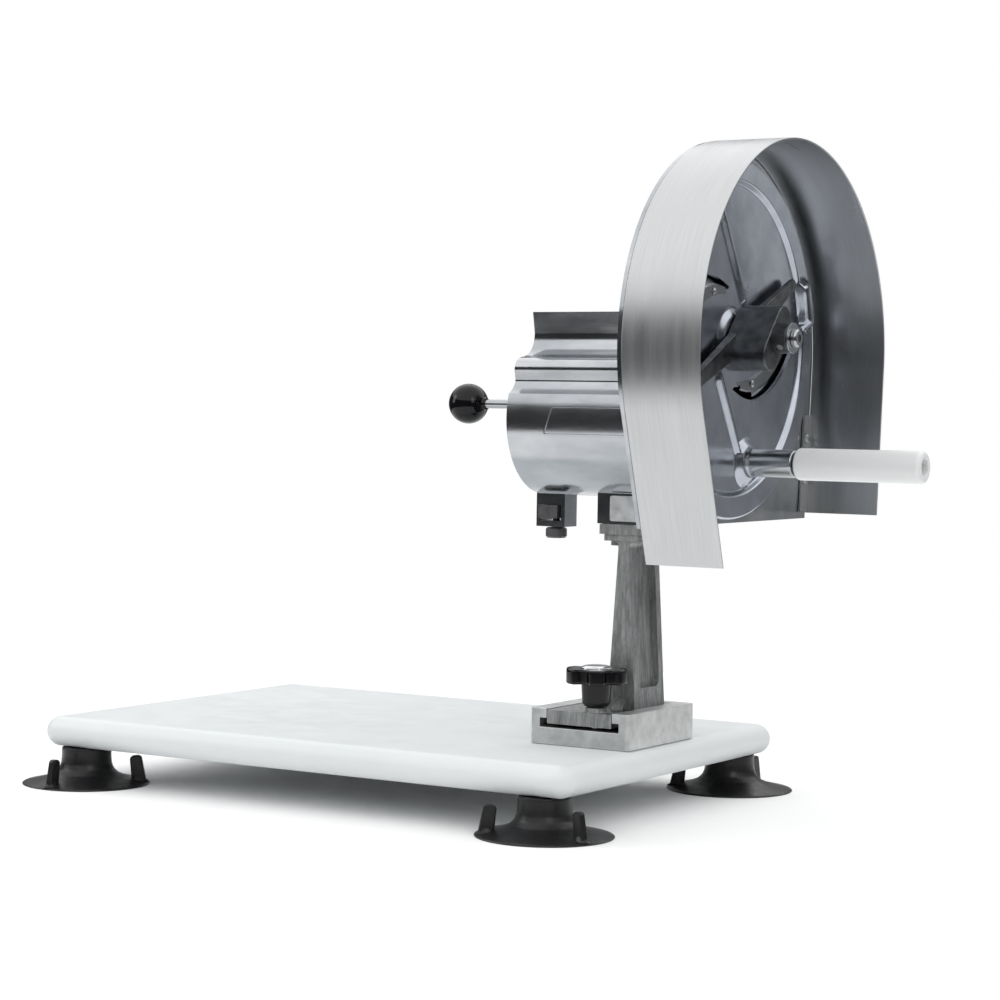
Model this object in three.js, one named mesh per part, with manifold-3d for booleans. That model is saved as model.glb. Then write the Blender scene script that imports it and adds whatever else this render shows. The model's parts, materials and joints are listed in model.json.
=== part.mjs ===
// Hand-cranked rotary vegetable slicer on a cutting board with suction feet.
// Millimetres, +Z up, +X along the rotor axis towards the crank handle. The origin is the
// middle of the footprint, on the table.
import * as THREE from "three";
import { mergeVertices } from "three/addons/utils/BufferGeometryUtils.js";
import Module from "manifold-3d";

const wasm = await Module();
wasm.setup();

// ---------------------------------------------------------------- driving dimensions
const GAP = 0.3; // left between pieces that touch
const TURN = Math.PI * 2;
const degrees = (angle) => (angle * Math.PI) / 180;

// The board and its feet are drawn about the middle of the four feet.
const board = { length: 535, width: 366, bottom: 32.5, top: 58.6, corner: 14 };
const cup = { x: 234.6, y: 159.5, radius: 55.6, neck: 21.6, tabSpread: 120 };
const cups = [
  { place: "front_right", x: cup.x, y: -cup.y, turn: -82 },
  { place: "front_left", x: -cup.x, y: -cup.y, turn: -28.5 },
  { place: "rear_right", x: cup.x, y: cup.y, turn: 146.5 },
  { place: "rear_left", x: -cup.x, y: cup.y, turn: 40 },
];

// Everything above the board is drawn in the slicer's own frame, which sits here on the board's.
const slicerAt = { x: -39, y: 30.7, z: -7.2 };
const deck = board.top - slicerAt.z; // the board's top face in the slicer's frame

const base = { x: 250.8, y: -43, width: 92.8, length: 114.3, height: 30 };
base.front = base.y - base.length / 2;
base.rear = base.y + base.length / 2;
base.top = deck + base.height;
const channel = { halfOpening: 30.7, halfSlot: 37.2, floor: 80.3, lip: 87.8, stopWall: 8 };

const foot = { bottom: 83.4, top: 94.8, flangeTop: 87.5, rear: 5.8, flangeFront: -88 };
const column = { front: -60, rear: -8.7, top: 234 };
column.left = 254.4; // at the foot
column.right = 280.8;
column.topLeft = 262.7;
column.topRight = 272.6;
const recess = { y: -34, z: 168, width: 35, height: 112, depth: 5, corner: 5 };
const saddle = { bottom: 234, step: 239.5, top: 248, front: -63, rear: -7 };
saddle.lower = [249.6, 300.4];
saddle.upper = [246.1, 303.4];
saddle.pad = [243.9, 305.2];

const clamp = { x: 260.3, y: -88.5, stud: 3.9, hole: 6, bushing: 5.7, boss: 8.6, cap: 13.4 };
const knob = { radius: 26.4, lobes: 6, dip: 6.5, hubBottom: 99.4, bottom: 118.5, top: 130.8 };

const tube = { y: -43, z: 334, radius: 63.8, bore: 57.6, rear: 180.8, front: 341.2 };
const backPlate = { rear: 341, front: 347.4, bottom: 251 };
const axle = { y: -43, z: 401.8, radius: 6.35, tunnel: 9.6 };
const lug = { rear: 179, front: 206.6, halfWidth: 10, bottom: 243.2, windowBottom: 248, windowTop: 262 };
lug.x = (lug.rear + lug.front) / 2;

const rotor = { rear: 350.6, field: 354.2, rim: 357.6, radius: 147, rimInner: 128.4 };
const handle = { y: -13.5, z: 300.6, boss: 11.4, grip: 13.1, gripStart: 402.8, gripEnd: 513, pin: 5 };
const bridge = { rear: 358.4, front: 396.6, bossFront: 408.4, boss: 12.4 };
bridge.halfWidth = 13;
bridge.reach = 18;
bridge.lean = 50;
bridge.arm = { angle: 26, start: 10, end: 108, rootHalf: 9.5, tipHalf: 5, rear: 359, front: 363.2 };
bridge.screw = { x: 402.6, radius: 3, turn: 130 };

const guard = {
  y: -43,
  z: 391,
  radius: 170,
  sheet: 1.6,
  rear: 347.9,
  front: 414.8,
  nearLean: 17.5,
  farLean: 4,
  nearBottom: 223.1,
  farBottom: 255.8,
  flangeBottom: 257,
  flangeTop: 340,
  flangeWidth: 15,
  screwHeights: [285, 320],
};

const pusher = { z: 345.4, rear: 263, front: 285, radius: 56.5, rod: 3.8, ball: 17.2, ballX: 103 };

const footprintRear = -cup.x - cup.radius;
const footprintFront = handle.gripEnd + slicerAt.x;
const originX = (footprintFront + footprintRear) / 2;

// ---------------------------------------------------------------- geometry helpers
// A closed geometry as a solid, turned to face outwards whichever way its profile was drawn.
function solidFrom(geometry) {
  const bare = geometry.clone();
  bare.deleteAttribute("normal");
  bare.deleteAttribute("uv");
  const merged = mergeVertices(bare, 1e-4);
  const build = (corners) =>
    new wasm.Manifold(
      new wasm.Mesh({
        numProp: 3,
        vertProperties: new Float32Array(merged.attributes.position.array),
        triVerts: corners,
      }),
    );
  const corners = new Uint32Array(merged.index.array);
  const solid = build(corners);
  if (solid.volume() > 0) return solid;
  for (let i = 0; i < corners.length; i += 3) {
    const swapped = corners[i + 1];
    corners[i + 1] = corners[i + 2];
    corners[i + 2] = swapped;
  }
  return build(corners);
}

function geometryFrom(solid) {
  const mesh = solid.getMesh();
  const geometry = new THREE.BufferGeometry();
  geometry.setAttribute("position", new THREE.BufferAttribute(mesh.vertProperties, mesh.numProp));
  geometry.setIndex(new THREE.BufferAttribute(mesh.triVerts, 1));
  geometry.computeVertexNormals();
  return geometry;
}

const UNIT = {
  x: new THREE.Vector3(1, 0, 0),
  y: new THREE.Vector3(0, 1, 0),
  z: new THREE.Vector3(0, 0, 1),
};
// Each entry turns a shape drawn in the XY plane and extruded along Z: (across, up, along).
const FRAMES = {
  x: new THREE.Matrix4().makeBasis(UNIT.y, UNIT.z, UNIT.x),
  y: new THREE.Matrix4().makeBasis(UNIT.x, UNIT.z, UNIT.y.clone().negate()),
  z: new THREE.Matrix4(),
};

function block(x0, x1, y0, y1, z0, z1) {
  const geometry = new THREE.BoxGeometry(x1 - x0, y1 - y0, z1 - z0);
  return solidFrom(geometry.translate((x0 + x1) / 2, (y0 + y1) / 2, (z0 + z1) / 2));
}

// A drawn shape pushed from one place to another along X or Z.
function extruded(axis, shape, from, to, bevel = 0, curveSegments = 10) {
  const geometry = new THREE.ExtrudeGeometry(shape, {
    depth: to - from - 2 * bevel,
    bevelEnabled: bevel > 0,
    bevelThickness: bevel,
    bevelSize: bevel,
    bevelOffset: -bevel,
    bevelSegments: bevel > 3 ? 4 : 1,
    curveSegments,
  });
  return solidFrom(geometry.translate(0, 0, from + bevel).applyMatrix4(FRAMES[axis]));
}

// A side view in X and Z pushed between two values of Y.
function extrudedAcross(shape, front, rear) {
  const geometry = new THREE.ExtrudeGeometry(shape, { depth: rear - front, bevelEnabled: false });
  return solidFrom(geometry.translate(0, 0, -rear).applyMatrix4(FRAMES.y));
}

// A turned piece: [radius, place along the axis] pairs, starting and ending on the axis.
function turned(axis, profile, centre, segments = 32) {
  const points = profile.map(([radius, along]) => new THREE.Vector2(radius, along));
  const geometry = new THREE.LatheGeometry(points, segments);
  const upright = new THREE.Matrix4().makeBasis(UNIT.y, UNIT.z, UNIT.x);
  geometry.applyMatrix4(upright).applyMatrix4(FRAMES[axis]);
  return solidFrom(geometry.translate(...centre));
}

function rod(axis, radius, from, to, centre, segments = 24) {
  return turned(axis, [[0, from], [radius, from], [radius, to], [0, to]], centre, segments);
}

function ring(axis, outer, inner, from, to, centre, segments = 24) {
  const wall = rod(axis, outer, from, to, centre, segments);
  return wall.subtract(rod(axis, inner, from - 1, to + 1, centre, segments));
}

function roundedRectangle(width, height, corner) {
  const shape = new THREE.Shape();
  const x = width / 2 - corner;
  const y = height / 2 - corner;
  shape.absarc(x, y, corner, 0, TURN / 4);
  shape.absarc(-x, y, corner, TURN / 4, TURN / 2);
  shape.absarc(-x, -y, corner, TURN / 2, (TURN * 3) / 4);
  shape.absarc(x, -y, corner, (TURN * 3) / 4, TURN);
  return shape;
}

function outline(points) {
  return new THREE.Shape(points.map(([x, y]) => new THREE.Vector2(x, y)));
}

const union = (solids) => solids.reduce((whole, piece) => whole.add(piece));
const moved = (solid, x, y, z) => solid.translate([x, y, z]);

// ---------------------------------------------------------------- materials
const finish = (color, metalness, roughness) => () =>
  new THREE.MeshStandardMaterial({ color, metalness, roughness });
const cast = finish(0x9a9c9e, 0.9, 0.55);
const polished = finish(0xb4b8bd, 1, 0.2);
const stainless = finish(0xc2c4c6, 1, 0.35);
const steel = finish(0x8e9093, 1, 0.3);
const bronze = finish(0x9c7440, 0.9, 0.4);
const darkIron = finish(0x45474a, 0.8, 0.45);
const whitePlastic = finish(0xf0f2f3, 0, 0.4);
const blackPlastic = finish(0x101112, 0, 0.25);
const rubber = finish(0x141414, 0, 0.5);

// ---------------------------------------------------------------- board and feet
function cuttingBoard() {
  const edge = (board.top - board.bottom) / 2;
  const slab = extruded("z", roundedRectangle(board.length, board.width, board.corner),
    board.bottom, board.top, edge - 0.01, 4);
  const pilots = cups.map(({ x, y }) => rod("z", 3.2, board.bottom - 1, footScrewTip + 0.5, [x, y, 0], 12));
  const anchors = baseScrewPlaces().map(([x, y]) =>
    rod("z", 2.4, baseScrewTip - 1.5 + slicerAt.z, board.top + 1, [x + slicerAt.x, y + slicerAt.y, 0], 12),
  );
  return slab.subtract(union([...pilots, ...anchors]));
}

const cupTop = board.bottom - GAP;
const footScrewTip = 50.5;

// A thin flange on a waisted neck, with two upright fins to pull when the foot is released.
function suctionCup({ x, y, turn }) {
  const profile = [
    [0, 3.4], [30, 2.6], [52, 0], [cup.radius, 0], [cup.radius, 1.4], [46, 3.4], [36, 5.8],
    [28.5, 8.8], [24, 13], [22.2, 18], [cup.neck, 24], [cup.neck, cupTop], [0, cupTop],
  ];
  const bell = turned("z", profile, [0, 0, 0], 28);
  const fin = extrudedAcross(outline([[39, 2.5], [54, 1], [48, 25.5], [38, 23.5]]), -2.6, 2.6);
  const fins = [-cup.tabSpread / 2, cup.tabSpread / 2].map((angle) => fin.rotate([0, 0, turn + angle]));
  const counterbore = rod("z", 7, -1, 9, [0, 0, 0], 16);
  const shankHole = rod("z", 3.2, 8, cupTop + 1, [0, 0, 0], 12);
  return moved(union([bell, ...fins]).subtract(counterbore).subtract(shankHole), x, y, 0);
}

function footScrew({ x, y }) {
  const profile = [
    [0, 3.2], [1.6, 3.2], [1.8, 5], [3.2, 5], [6.4, 6], [6.4, 8.7], [2.9, 8.7],
    [2.9, footScrewTip - 1.5], [0, footScrewTip],
  ];
  return turned("z", profile, [x, y, 0], 12);
}

// ---------------------------------------------------------------- clamp base
const baseScrewTip = 54;

function baseScrewPlaces() {
  const across = 25.6;
  const along = 36;
  const places = [];
  for (const side of [-1, 1])
    for (const end of [-1, 1]) places.push([base.x + side * across, base.y - 4 + end * along]);
  return places;
}

function mountingBase() {
  const body = moved(
    extruded("z", roundedRectangle(base.width, base.length, 3), deck + GAP, base.top, 1.2, 3),
    base.x, base.y, 0,
  );
  const end = base.rear - channel.stopWall;
  const opening = block(base.x - channel.halfOpening, base.x + channel.halfOpening,
    base.front - 1, end, channel.floor, base.top + 1);
  const slot = block(base.x - channel.halfSlot, base.x + channel.halfSlot,
    base.front - 1, end, channel.floor, channel.lip);
  let casting = body.subtract(opening).subtract(slot);
  for (const [x, y] of baseScrewPlaces())
    casting = casting
      .subtract(rod("z", 3, deck - 1, channel.floor + 1, [x, y, 0], 12))
      .subtract(rod("z", 5.4, channel.floor - 4.6, channel.floor + 1, [x, y, 0], 16));
  return casting;
}

function baseScrew([x, y]) {
  const head = channel.floor - 0.4;
  const profile = [
    [0, baseScrewTip], [2.1, baseScrewTip + 1.5], [2.1, head - 4], [5, head - 4], [5, head - 0.8],
    [4.2, head], [2, head], [1.6, head - 2], [0, head - 2],
  ];
  return turned("z", profile, [x, y, 0], 10);
}

// ---------------------------------------------------------------- pedestal
function pedestalBoltPlaces() {
  return [[253.6, -48], [253.6, -22], [295.6, -48], [295.6, -22]];
}

// A shallow panel sunk into the column's sloping face.
function leaningRecess() {
  const slope = Math.atan2(column.right - column.topRight, column.top - foot.top);
  const faceX = (column.right + column.topRight) / 2;
  const shape = roundedRectangle(recess.width, recess.height, recess.corner);
  const panel = extruded("x", shape, -recess.depth, 12, 0, 4);
  return moved(panel.rotate([0, (-slope * 360) / TURN, 0]), faceX, recess.y, recess.z);
}

function pedestal() {
  const halfFoot = channel.halfOpening - 0.5;
  const halfFlange = channel.halfSlot - 0.5;
  const plate = block(base.x - halfFoot, base.x + halfFoot,
    base.front + 0.2, foot.rear, foot.bottom, foot.top);
  const flange = block(base.x - halfFlange, base.x + halfFlange,
    foot.flangeFront, foot.rear, foot.bottom, foot.flangeTop);
  const side = new THREE.Shape();
  side.moveTo(column.left - 8, foot.top - 1);
  side.quadraticCurveTo(column.left, foot.top + 1, column.left + 0.8, foot.top + 12);
  side.lineTo(column.topLeft, column.top - 6);
  side.quadraticCurveTo(column.topLeft, column.top, column.topLeft - 8, column.top + 1);
  side.lineTo(column.topRight + 8, column.top + 1);
  side.quadraticCurveTo(column.topRight, column.top, column.topRight, column.top - 6);
  side.lineTo(column.right, foot.top - 1);
  const post = extrudedAcross(side, column.front, column.rear);
  const gusset = extruded("x", outline([[column.front - 8, foot.top - 1], [column.front + 1, foot.top - 1],
    [column.front + 1, foot.top + 15]]), column.left + 8, column.right - 8);
  const boss = rod("z", clamp.boss, foot.top - 1, foot.top + 3.6, [clamp.x, clamp.y, 0], 20);
  const lower = block(...saddle.lower, saddle.front + 2, saddle.rear - 1, saddle.bottom, saddle.step + 0.1);
  const upper = block(...saddle.upper, saddle.front, saddle.rear, saddle.step, saddle.top - GAP / 2);
  const hollow = leaningRecess();
  const clampHole = rod("z", clamp.hole, foot.bottom - 1, foot.top + 5, [clamp.x, clamp.y, 0], 18);
  let casting = union([plate, flange, post, gusset, boss, lower, upper]).subtract(hollow).subtract(clampHole);
  for (const [x, y] of pedestalBoltPlaces())
    casting = casting.subtract(rod("z", 3, saddle.bottom - 1, saddle.top + 1, [x, y, 0], 12));
  return casting;
}

function pedestalBolt([x, y]) {
  const head = saddle.bottom - GAP;
  const profile = [[0, head - 4], [4.6, head - 4], [4.6, head], [2.7, head], [2.7, 258], [0, 259]];
  return turned("z", profile, [x, y, 0], 6);
}

function clampBushing() {
  const centre = [clamp.x, clamp.y, 0];
  return ring("z", clamp.bushing, clamp.stud + GAP, foot.bottom + 1, foot.top + 3.6, centre, 18);
}

function clampStud() {
  const profile = [
    [0, channel.floor + GAP], [3, channel.floor + GAP], [clamp.stud, channel.floor + 1.5],
    [clamp.stud, knob.top - 4], [0, knob.top - 4],
  ];
  return turned("z", profile, [clamp.x, clamp.y, 0], 16);
}

// A knob seen from above: a round core with lobes whose width and depth share one formula.
function clampKnob() {
  const points = [];
  const steps = knob.lobes * 6;
  for (let step = 0; step < steps; step += 1) {
    const angle = (step / steps) * TURN;
    const lobe = Math.tanh(3 * (Math.cos(knob.lobes * angle) + 0.25)) * 0.5 + 0.5;
    const radius = knob.radius - knob.dip * (1 - lobe);
    points.push([radius * Math.cos(angle), radius * Math.sin(angle)]);
  }
  const centre = [clamp.x, clamp.y, 0];
  const rim = moved(extruded("z", outline(points), knob.bottom, knob.top, 1.4), clamp.x, clamp.y, 0);
  const hub = turned("z", [[0, knob.hubBottom], [9.5, knob.hubBottom], [11.5, knob.hubBottom + 3],
    [12.6, knob.bottom + 0.5], [0, knob.bottom + 0.5]], centre, 24);
  const bore = rod("z", clamp.stud + GAP, knob.hubBottom - 2, knob.top - 3.7, centre, 16);
  const capSeat = rod("z", clamp.cap + 0.4, knob.top - 1.2, knob.top + 1, centre, 24);
  return rim.add(hub).subtract(bore).subtract(capSeat);
}

function clampKnobCap() {
  const seat = knob.top - 1.2 + GAP;
  return turned("z", [[0, seat], [clamp.cap, seat], [clamp.cap, seat + 2], [11.5, seat + 3.4], [0, seat + 4]],
    [clamp.x, clamp.y, 0], 24);
}

// ---------------------------------------------------------------- housing
// The arch that the guard follows: a half circle with two legs leaning inwards.
function arch(radius, nearBottom, farBottom) {
  const near = degrees(guard.nearLean);
  const far = degrees(guard.farLean);
  const nearY = -radius * Math.cos(near);
  const nearZ = -radius * Math.sin(near);
  const farY = radius * Math.cos(far);
  const farZ = -radius * Math.sin(far);
  const nearDrop = nearZ - (nearBottom - guard.z);
  const farDrop = farZ - (farBottom - guard.z);
  return {
    nearFoot: [nearY + nearDrop * Math.tan(near), nearBottom - guard.z],
    farFoot: [farY - farDrop * Math.tan(far), farBottom - guard.z],
    farShoulder: [farY, farZ],
    nearTangent: Math.PI + near,
    farTangent: -far,
  };
}

function archPath(radius, nearBottom, farBottom) {
  const bend = arch(radius, nearBottom, farBottom);
  const shape = new THREE.Shape();
  shape.moveTo(...bend.farFoot);
  shape.lineTo(...bend.farShoulder);
  shape.absarc(0, 0, radius, bend.farTangent, bend.nearTangent);
  shape.lineTo(...bend.nearFoot);
  return shape;
}

// The casting from the end: a round tube under a block that carries the rotor shaft.
function housingSection() {
  const joint = degrees(18.7);
  const jointY = tube.radius * Math.cos(joint);
  const jointZ = tube.radius * Math.sin(joint);
  const shape = new THREE.Shape();
  shape.moveTo(24, 89);
  shape.lineTo(-24, 89);
  shape.quadraticCurveTo(-21, 72, -25, 60);
  shape.quadraticCurveTo(-28, 52, -40, 51);
  shape.quadraticCurveTo(-51.5, 51, -52, 40);
  shape.lineTo(-50.5, 31);
  shape.quadraticCurveTo(-53, 24, -jointY, jointZ);
  shape.absarc(0, 0, tube.radius, Math.PI - joint, TURN + joint);
  shape.quadraticCurveTo(53, 24, 50.5, 31);
  shape.lineTo(52, 40);
  shape.quadraticCurveTo(51.5, 51, 40, 51);
  shape.quadraticCurveTo(28, 52, 25, 60);
  shape.quadraticCurveTo(21, 72, 24, 89);
  return shape;
}

// A point on one leg of the guard, so far in from its outer face, as [y, z] from the arch centre.
function legPoint(side, inset, height) {
  const lean = degrees(side < 0 ? guard.nearLean : guard.farLean);
  const z = height - guard.z;
  const y = (guard.radius - inset + z * Math.sin(lean)) / Math.cos(lean);
  return [side * y, z];
}

function guardScrewPlaces() {
  const places = [];
  for (const side of [-1, 1])
    for (const height of guard.screwHeights) places.push(legPoint(side, 10, height));
  return places.map(([y, z]) => ({ y: guard.y + y, z: guard.z + z }));
}

function housing() {
  const body = moved(extruded("x", housingSection(), tube.rear, tube.front, 0, 7), 0, tube.y, tube.z);
  const plateShape = archPath(guard.radius - 0.6, backPlate.bottom, backPlate.bottom);
  const plate = moved(extruded("x", plateShape, backPlate.rear, backPlate.front, 0, 24), 0, guard.y, guard.z);
  const pad = block(...saddle.pad, saddle.front, saddle.rear, saddle.top + GAP / 2, tube.z - 40);
  const web = block(saddle.pad[1] - 1, backPlate.rear + 1, tube.y - 5, tube.y + 5, 262, 290);
  const lugBody = block(lug.rear, lug.front, tube.y - lug.halfWidth, tube.y + lug.halfWidth, lug.bottom, 275);
  const lugWindow = block(lug.rear + 4, lug.front - 4,
    tube.y - 20, tube.y + 20, lug.windowBottom, lug.windowTop);
  const lugThread = rod("z", 3.4, lug.bottom - 1, lug.windowBottom + 1, [lug.x, tube.y, 0], 12);
  const bore = rod("x", tube.bore, tube.rear - 1, backPlate.front + 1, [0, tube.y, tube.z], 44);
  const tunnel = rod("x", axle.tunnel, tube.rear - 1, backPlate.front + 1, [0, axle.y, axle.z], 24);
  const border = nameplateBorder();
  let casting = union([body, plate, pad, web, lugBody, border]);
  for (const cut of [bore, tunnel, lugWindow, lugThread]) casting = casting.subtract(cut);
  for (const [x, y] of pedestalBoltPlaces())
    casting = casting.subtract(rod("z", 3, saddle.top - 1, 260, [x, y, 0], 12));
  for (const { y, z } of guardScrewPlaces())
    casting = casting.subtract(rod("x", 2.3, backPlate.rear - 1, backPlate.front + 1, [0, y, z], 10));
  return casting;
}

// A raised, empty frame on the near side of the tube, wrapped on its curve.
function nameplateBorder() {
  const front = tube.y - tube.radius - 2;
  const edge = outline([[215.5, 320.5], [318, 320.5], [318, 345], [223.5, 345]]);
  const whole = extrudedAcross(edge, front, front + 10);
  const middle = extrudedAcross(
    outline([[217.5, 321.9], [316.6, 321.9], [316.6, 343.6], [224.5, 343.6]]), front - 1, front + 11);
  const skin = rod("x", tube.radius + 0.9, 205, 330, [0, tube.y, tube.z], 44);
  return whole.subtract(middle).intersect(skin);
}

function labelPlate() {
  const plate = extruded("x", roundedRectangle(31, 21, 2), 0, 0.8, 0, 3).rotate([0, 0, -90]);
  return moved(plate, 271.6, saddle.front - GAP, 261);
}

function lugBar() {
  return block(lug.rear + 4.6, lug.front - 4.6,
    tube.y - 15, tube.y + 15, lug.windowTop - 11.5, lug.windowTop - 0.6);
}

// The screw's knurled head below the lug, and its tip just short of the bar.
function lugThumbScrew() {
  const under = lug.bottom - GAP;
  const profile = [
    [0, under - 9.5], [7.6, under - 9.5], [9, under - 8], [9, under - 2], [7.6, under - 0.6],
    [4, under - 0.4], [4, under], [3.1, under], [3.1, lug.windowTop - 11.8], [0, lug.windowTop - 11.8],
  ];
  return turned("z", profile, [lug.x, tube.y, 0], 14);
}

// ---------------------------------------------------------------- shaft
// The collar sits in the mouth of the tunnel, behind a plain bush. The front bush has a flange.
const collar = { x: 186.4, half: 4.4 };

function shaftBush(from, to) {
  return ring("x", axle.tunnel - GAP, axle.radius + GAP, from, to, [0, axle.y, axle.z], 18);
}

function flangedBush(from, to, flange) {
  return shaftBush(from, to).add(
    ring("x", axle.tunnel + 2.5, axle.radius + GAP, to - flange, to, [0, axle.y, axle.z], 18),
  );
}

function mainShaft() {
  const profile = [
    [0, 181.6], [axle.radius - 0.8, 181.6], [axle.radius, 182.6], [axle.radius, 399], [0, 399],
  ];
  const bar = turned("x", profile, [0, axle.y, axle.z], 24);
  return bar.subtract(rod("x", 3.4, 380, 400, [0, axle.y, axle.z], 12));
}

function retainingCollar() {
  const body = ring("x", axle.tunnel - GAP, axle.radius + GAP,
    collar.x - collar.half, collar.x + collar.half, [0, axle.y, axle.z]);
  return body.subtract(rod("z", 2.3, 5, 14, [collar.x, axle.y, axle.z], 10));
}

function collarScrew() {
  return rod("z", 2, 6.8, 9.1, [collar.x, axle.y, axle.z], 10);
}

function thrustWasher() {
  return ring("x", 15, axle.radius + GAP, 349.9, 350.35, [0, axle.y, axle.z]);
}

// ---------------------------------------------------------------- rotor
const slot = { start: -84, end: 7, innerRadius: 42, growth: 86, power: 1.35, width: 26 };
slot.edge = 17; // how far in the blade's cutting edge lies
slot.back = 40; // how far in the blade's back lies

// Distance of the slot's outer edge from the axle, at a fraction of the way along the slot.
const slotRadius = (part) => slot.innerRadius + slot.growth * part ** slot.power;

// A point so far in from the slot's outer edge; every offset opens out from nothing at the slot's tip.
function slotPoint(part, inset) {
  const radius = slotRadius(part) - inset * part ** 0.7;
  const angle = degrees(slot.start + part * (slot.end - slot.start));
  return [radius * Math.cos(angle), radius * Math.sin(angle)];
}

// The sickle shape between two offsets, pointed at the inner tip and square at the rim end.
function sickle(outerInset, innerInset, first, last, steps) {
  const parts = Array.from({ length: steps + 1 }, (_, step) => first + ((last - first) * step) / steps);
  const there = parts.map((part) => slotPoint(part, outerInset));
  const back = parts.reverse().map((part) => slotPoint(part, innerInset));
  return outline([...there, ...back]);
}

const opposite = (solid) => solid.rotate([180, 0, 0]);
const onAxle = (solid) => moved(solid, 0, axle.y, axle.z);

function bladeScrewPlaces() {
  return [0.42, 0.74].map((part) => slotPoint(part, (slot.width + slot.back) / 2));
}

function rib(fromY, fromZ, toY, toZ, width, height) {
  const length = Math.hypot(toY - fromY, toZ - fromZ);
  const angle = (Math.atan2(toZ - fromZ, toY - fromY) * 360) / TURN;
  const ridge = outline([[-width / 2, -0.5], [width / 2, -0.5], [width / 5, height], [-width / 5, height]]);
  const geometry = new THREE.ExtrudeGeometry(ridge, { depth: length, bevelEnabled: false });
  const lying = new THREE.Matrix4().makeBasis(UNIT.z, UNIT.x, UNIT.y);
  const solid = solidFrom(geometry.applyMatrix4(lying));
  return moved(solid.rotate([angle, 0, 0]), rotor.field, fromY, fromZ);
}

function rotorPlate() {
  const profile = [
    [0, rotor.rear], [rotor.radius - 1, rotor.rear], [rotor.radius, rotor.rear + 1],
    [rotor.radius, rotor.rim - 1.5], [rotor.radius - 1.5, rotor.rim], [rotor.rimInner + 2.5, rotor.rim],
    [rotor.rimInner + 0.6, rotor.rim - 0.8], [rotor.rimInner - 2.5, rotor.field], [24, rotor.field],
    [19, rotor.rim], [0, rotor.rim],
  ];
  let plate = turned("x", profile, [0, 0, 0], 60);
  const handleY = handle.y - axle.y;
  const handleZ = handle.z - axle.z;
  const pad = turned("x", [[0, rotor.rear + 1], [17.5, rotor.field], [14, rotor.field + 2.4],
    [12.6, rotor.rim + 1.2], [0, rotor.rim + 1.2]], [0, handleY, handleZ], 24);
  const ribs = [rib(20, 34, -31, 117, 13, 3.6), rib(-20, -34, 26, -90, 13, 3.6)];
  plate = union([plate, ...ribs, pad]);
  const scoop = solidFrom(new THREE.SphereGeometry(1, 12, 8).scale(7.5, 8, 17))
    .rotate([12, 0, 0]);
  const scoopAngle = degrees(13);
  const scoopReach = 133.5;
  const scoopPlaced = moved(scoop, rotor.rim - 0.5,
    scoopReach * Math.cos(scoopAngle), scoopReach * Math.sin(scoopAngle));
  const keepFront = block(rotor.rear + 1, rotor.rim + 8, -160, 160, -160, 160);
  const frontScoop = scoopPlaced.intersect(keepFront);
  plate = union([plate, frontScoop, opposite(frontScoop)]);
  const cut = extruded("x", sickle(0, slot.width, 0.01, 1, 14), rotor.rear - 1, rotor.rim + 10);
  plate = plate.subtract(cut).subtract(opposite(cut));
  for (const [y, z] of bladeScrewPlaces())
    for (const sign of [1, -1])
      plate = plate.subtract(rod("x", 1.8, rotor.rear - 1, rotor.field + 2, [0, sign * y, sign * z], 8));
  plate = plate.subtract(rod("x", axle.radius + GAP, rotor.rear - 1, rotor.rim + 1, [0, 0, 0], 24));
  const pinHole = rod("x", handle.pin + GAP, rotor.rear - 1, rotor.rim + 2, [0, handleY, handleZ], 16);
  return onAxle(plate.subtract(pinHole));
}

const bladeThickness = 1.6;

function blade(flip) {
  const rear = rotor.field + GAP;
  let steelSheet = extruded("x", sickle(slot.edge, slot.back, 0.16, 0.92, 14), rear, rear + bladeThickness);
  for (const [y, z] of bladeScrewPlaces())
    steelSheet = steelSheet.subtract(rod("x", 1.8, rear - 1, rear + 3, [0, y, z], 8));
  return onAxle(flip ? opposite(steelSheet) : steelSheet);
}

function bladeScrew([y, z], sign) {
  const seat = rotor.field + bladeThickness + 2 * GAP;
  const profile = [
    [0, rotor.rear + 0.6], [1.5, rotor.rear + 0.6], [1.5, seat], [3, seat], [3, seat + 0.8],
    [1.6, seat + 1.8], [0, seat + 1.8],
  ];
  return onAxle(turned("x", profile, [0, sign * y, sign * z], 12));
}

function knifeBridge() {
  const bar = new THREE.Shape();
  bar.absarc(bridge.reach, 0, bridge.halfWidth, -TURN / 4, TURN / 4);
  bar.absarc(-bridge.reach, 0, bridge.halfWidth, TURN / 4, (TURN * 3) / 4);
  let body = extruded("x", bar, bridge.rear, bridge.front, 1.2, 8).rotate([bridge.lean, 0, 0]);
  body = body.add(rod("x", bridge.boss, bridge.front - 2, bridge.bossFront, [0, 0, 0], 28));
  for (const turn of [0, 180]) body = body.add(bridgeArm().rotate([bridge.arm.angle + turn, 0, 0]));
  body = body.subtract(rod("x", axle.radius + GAP, bridge.rear - 1, bridge.bossFront + 1, [0, 0, 0], 24));
  return onAxle(body.subtract(acrossBoss(bridge.screw.radius, 2, 20)));
}

// A tapering bar from the bridge out over the blade's back to just inside the rim.
function bridgeArm() {
  const { start, end, rootHalf, tipHalf, rear, front } = bridge.arm;
  const corners = [
    [start, -rootHalf], [end, -tipHalf], [end + tipHalf, 0], [end, tipHalf], [start, rootHalf],
  ];
  return extruded("x", outline(corners), rear, front);
}

// A rod across the bridge's boss, so far out from the axle.
function acrossBoss(radius, from, to) {
  const standing = rod("z", radius, from, to, [0, 0, 0], 12);
  return moved(standing.rotate([bridge.screw.turn, 0, 0]), bridge.screw.x, 0, 0);
}

function bridgeSetScrew() {
  return onAxle(acrossBoss(bridge.screw.radius - GAP, 6.9, 11.8));
}

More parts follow.
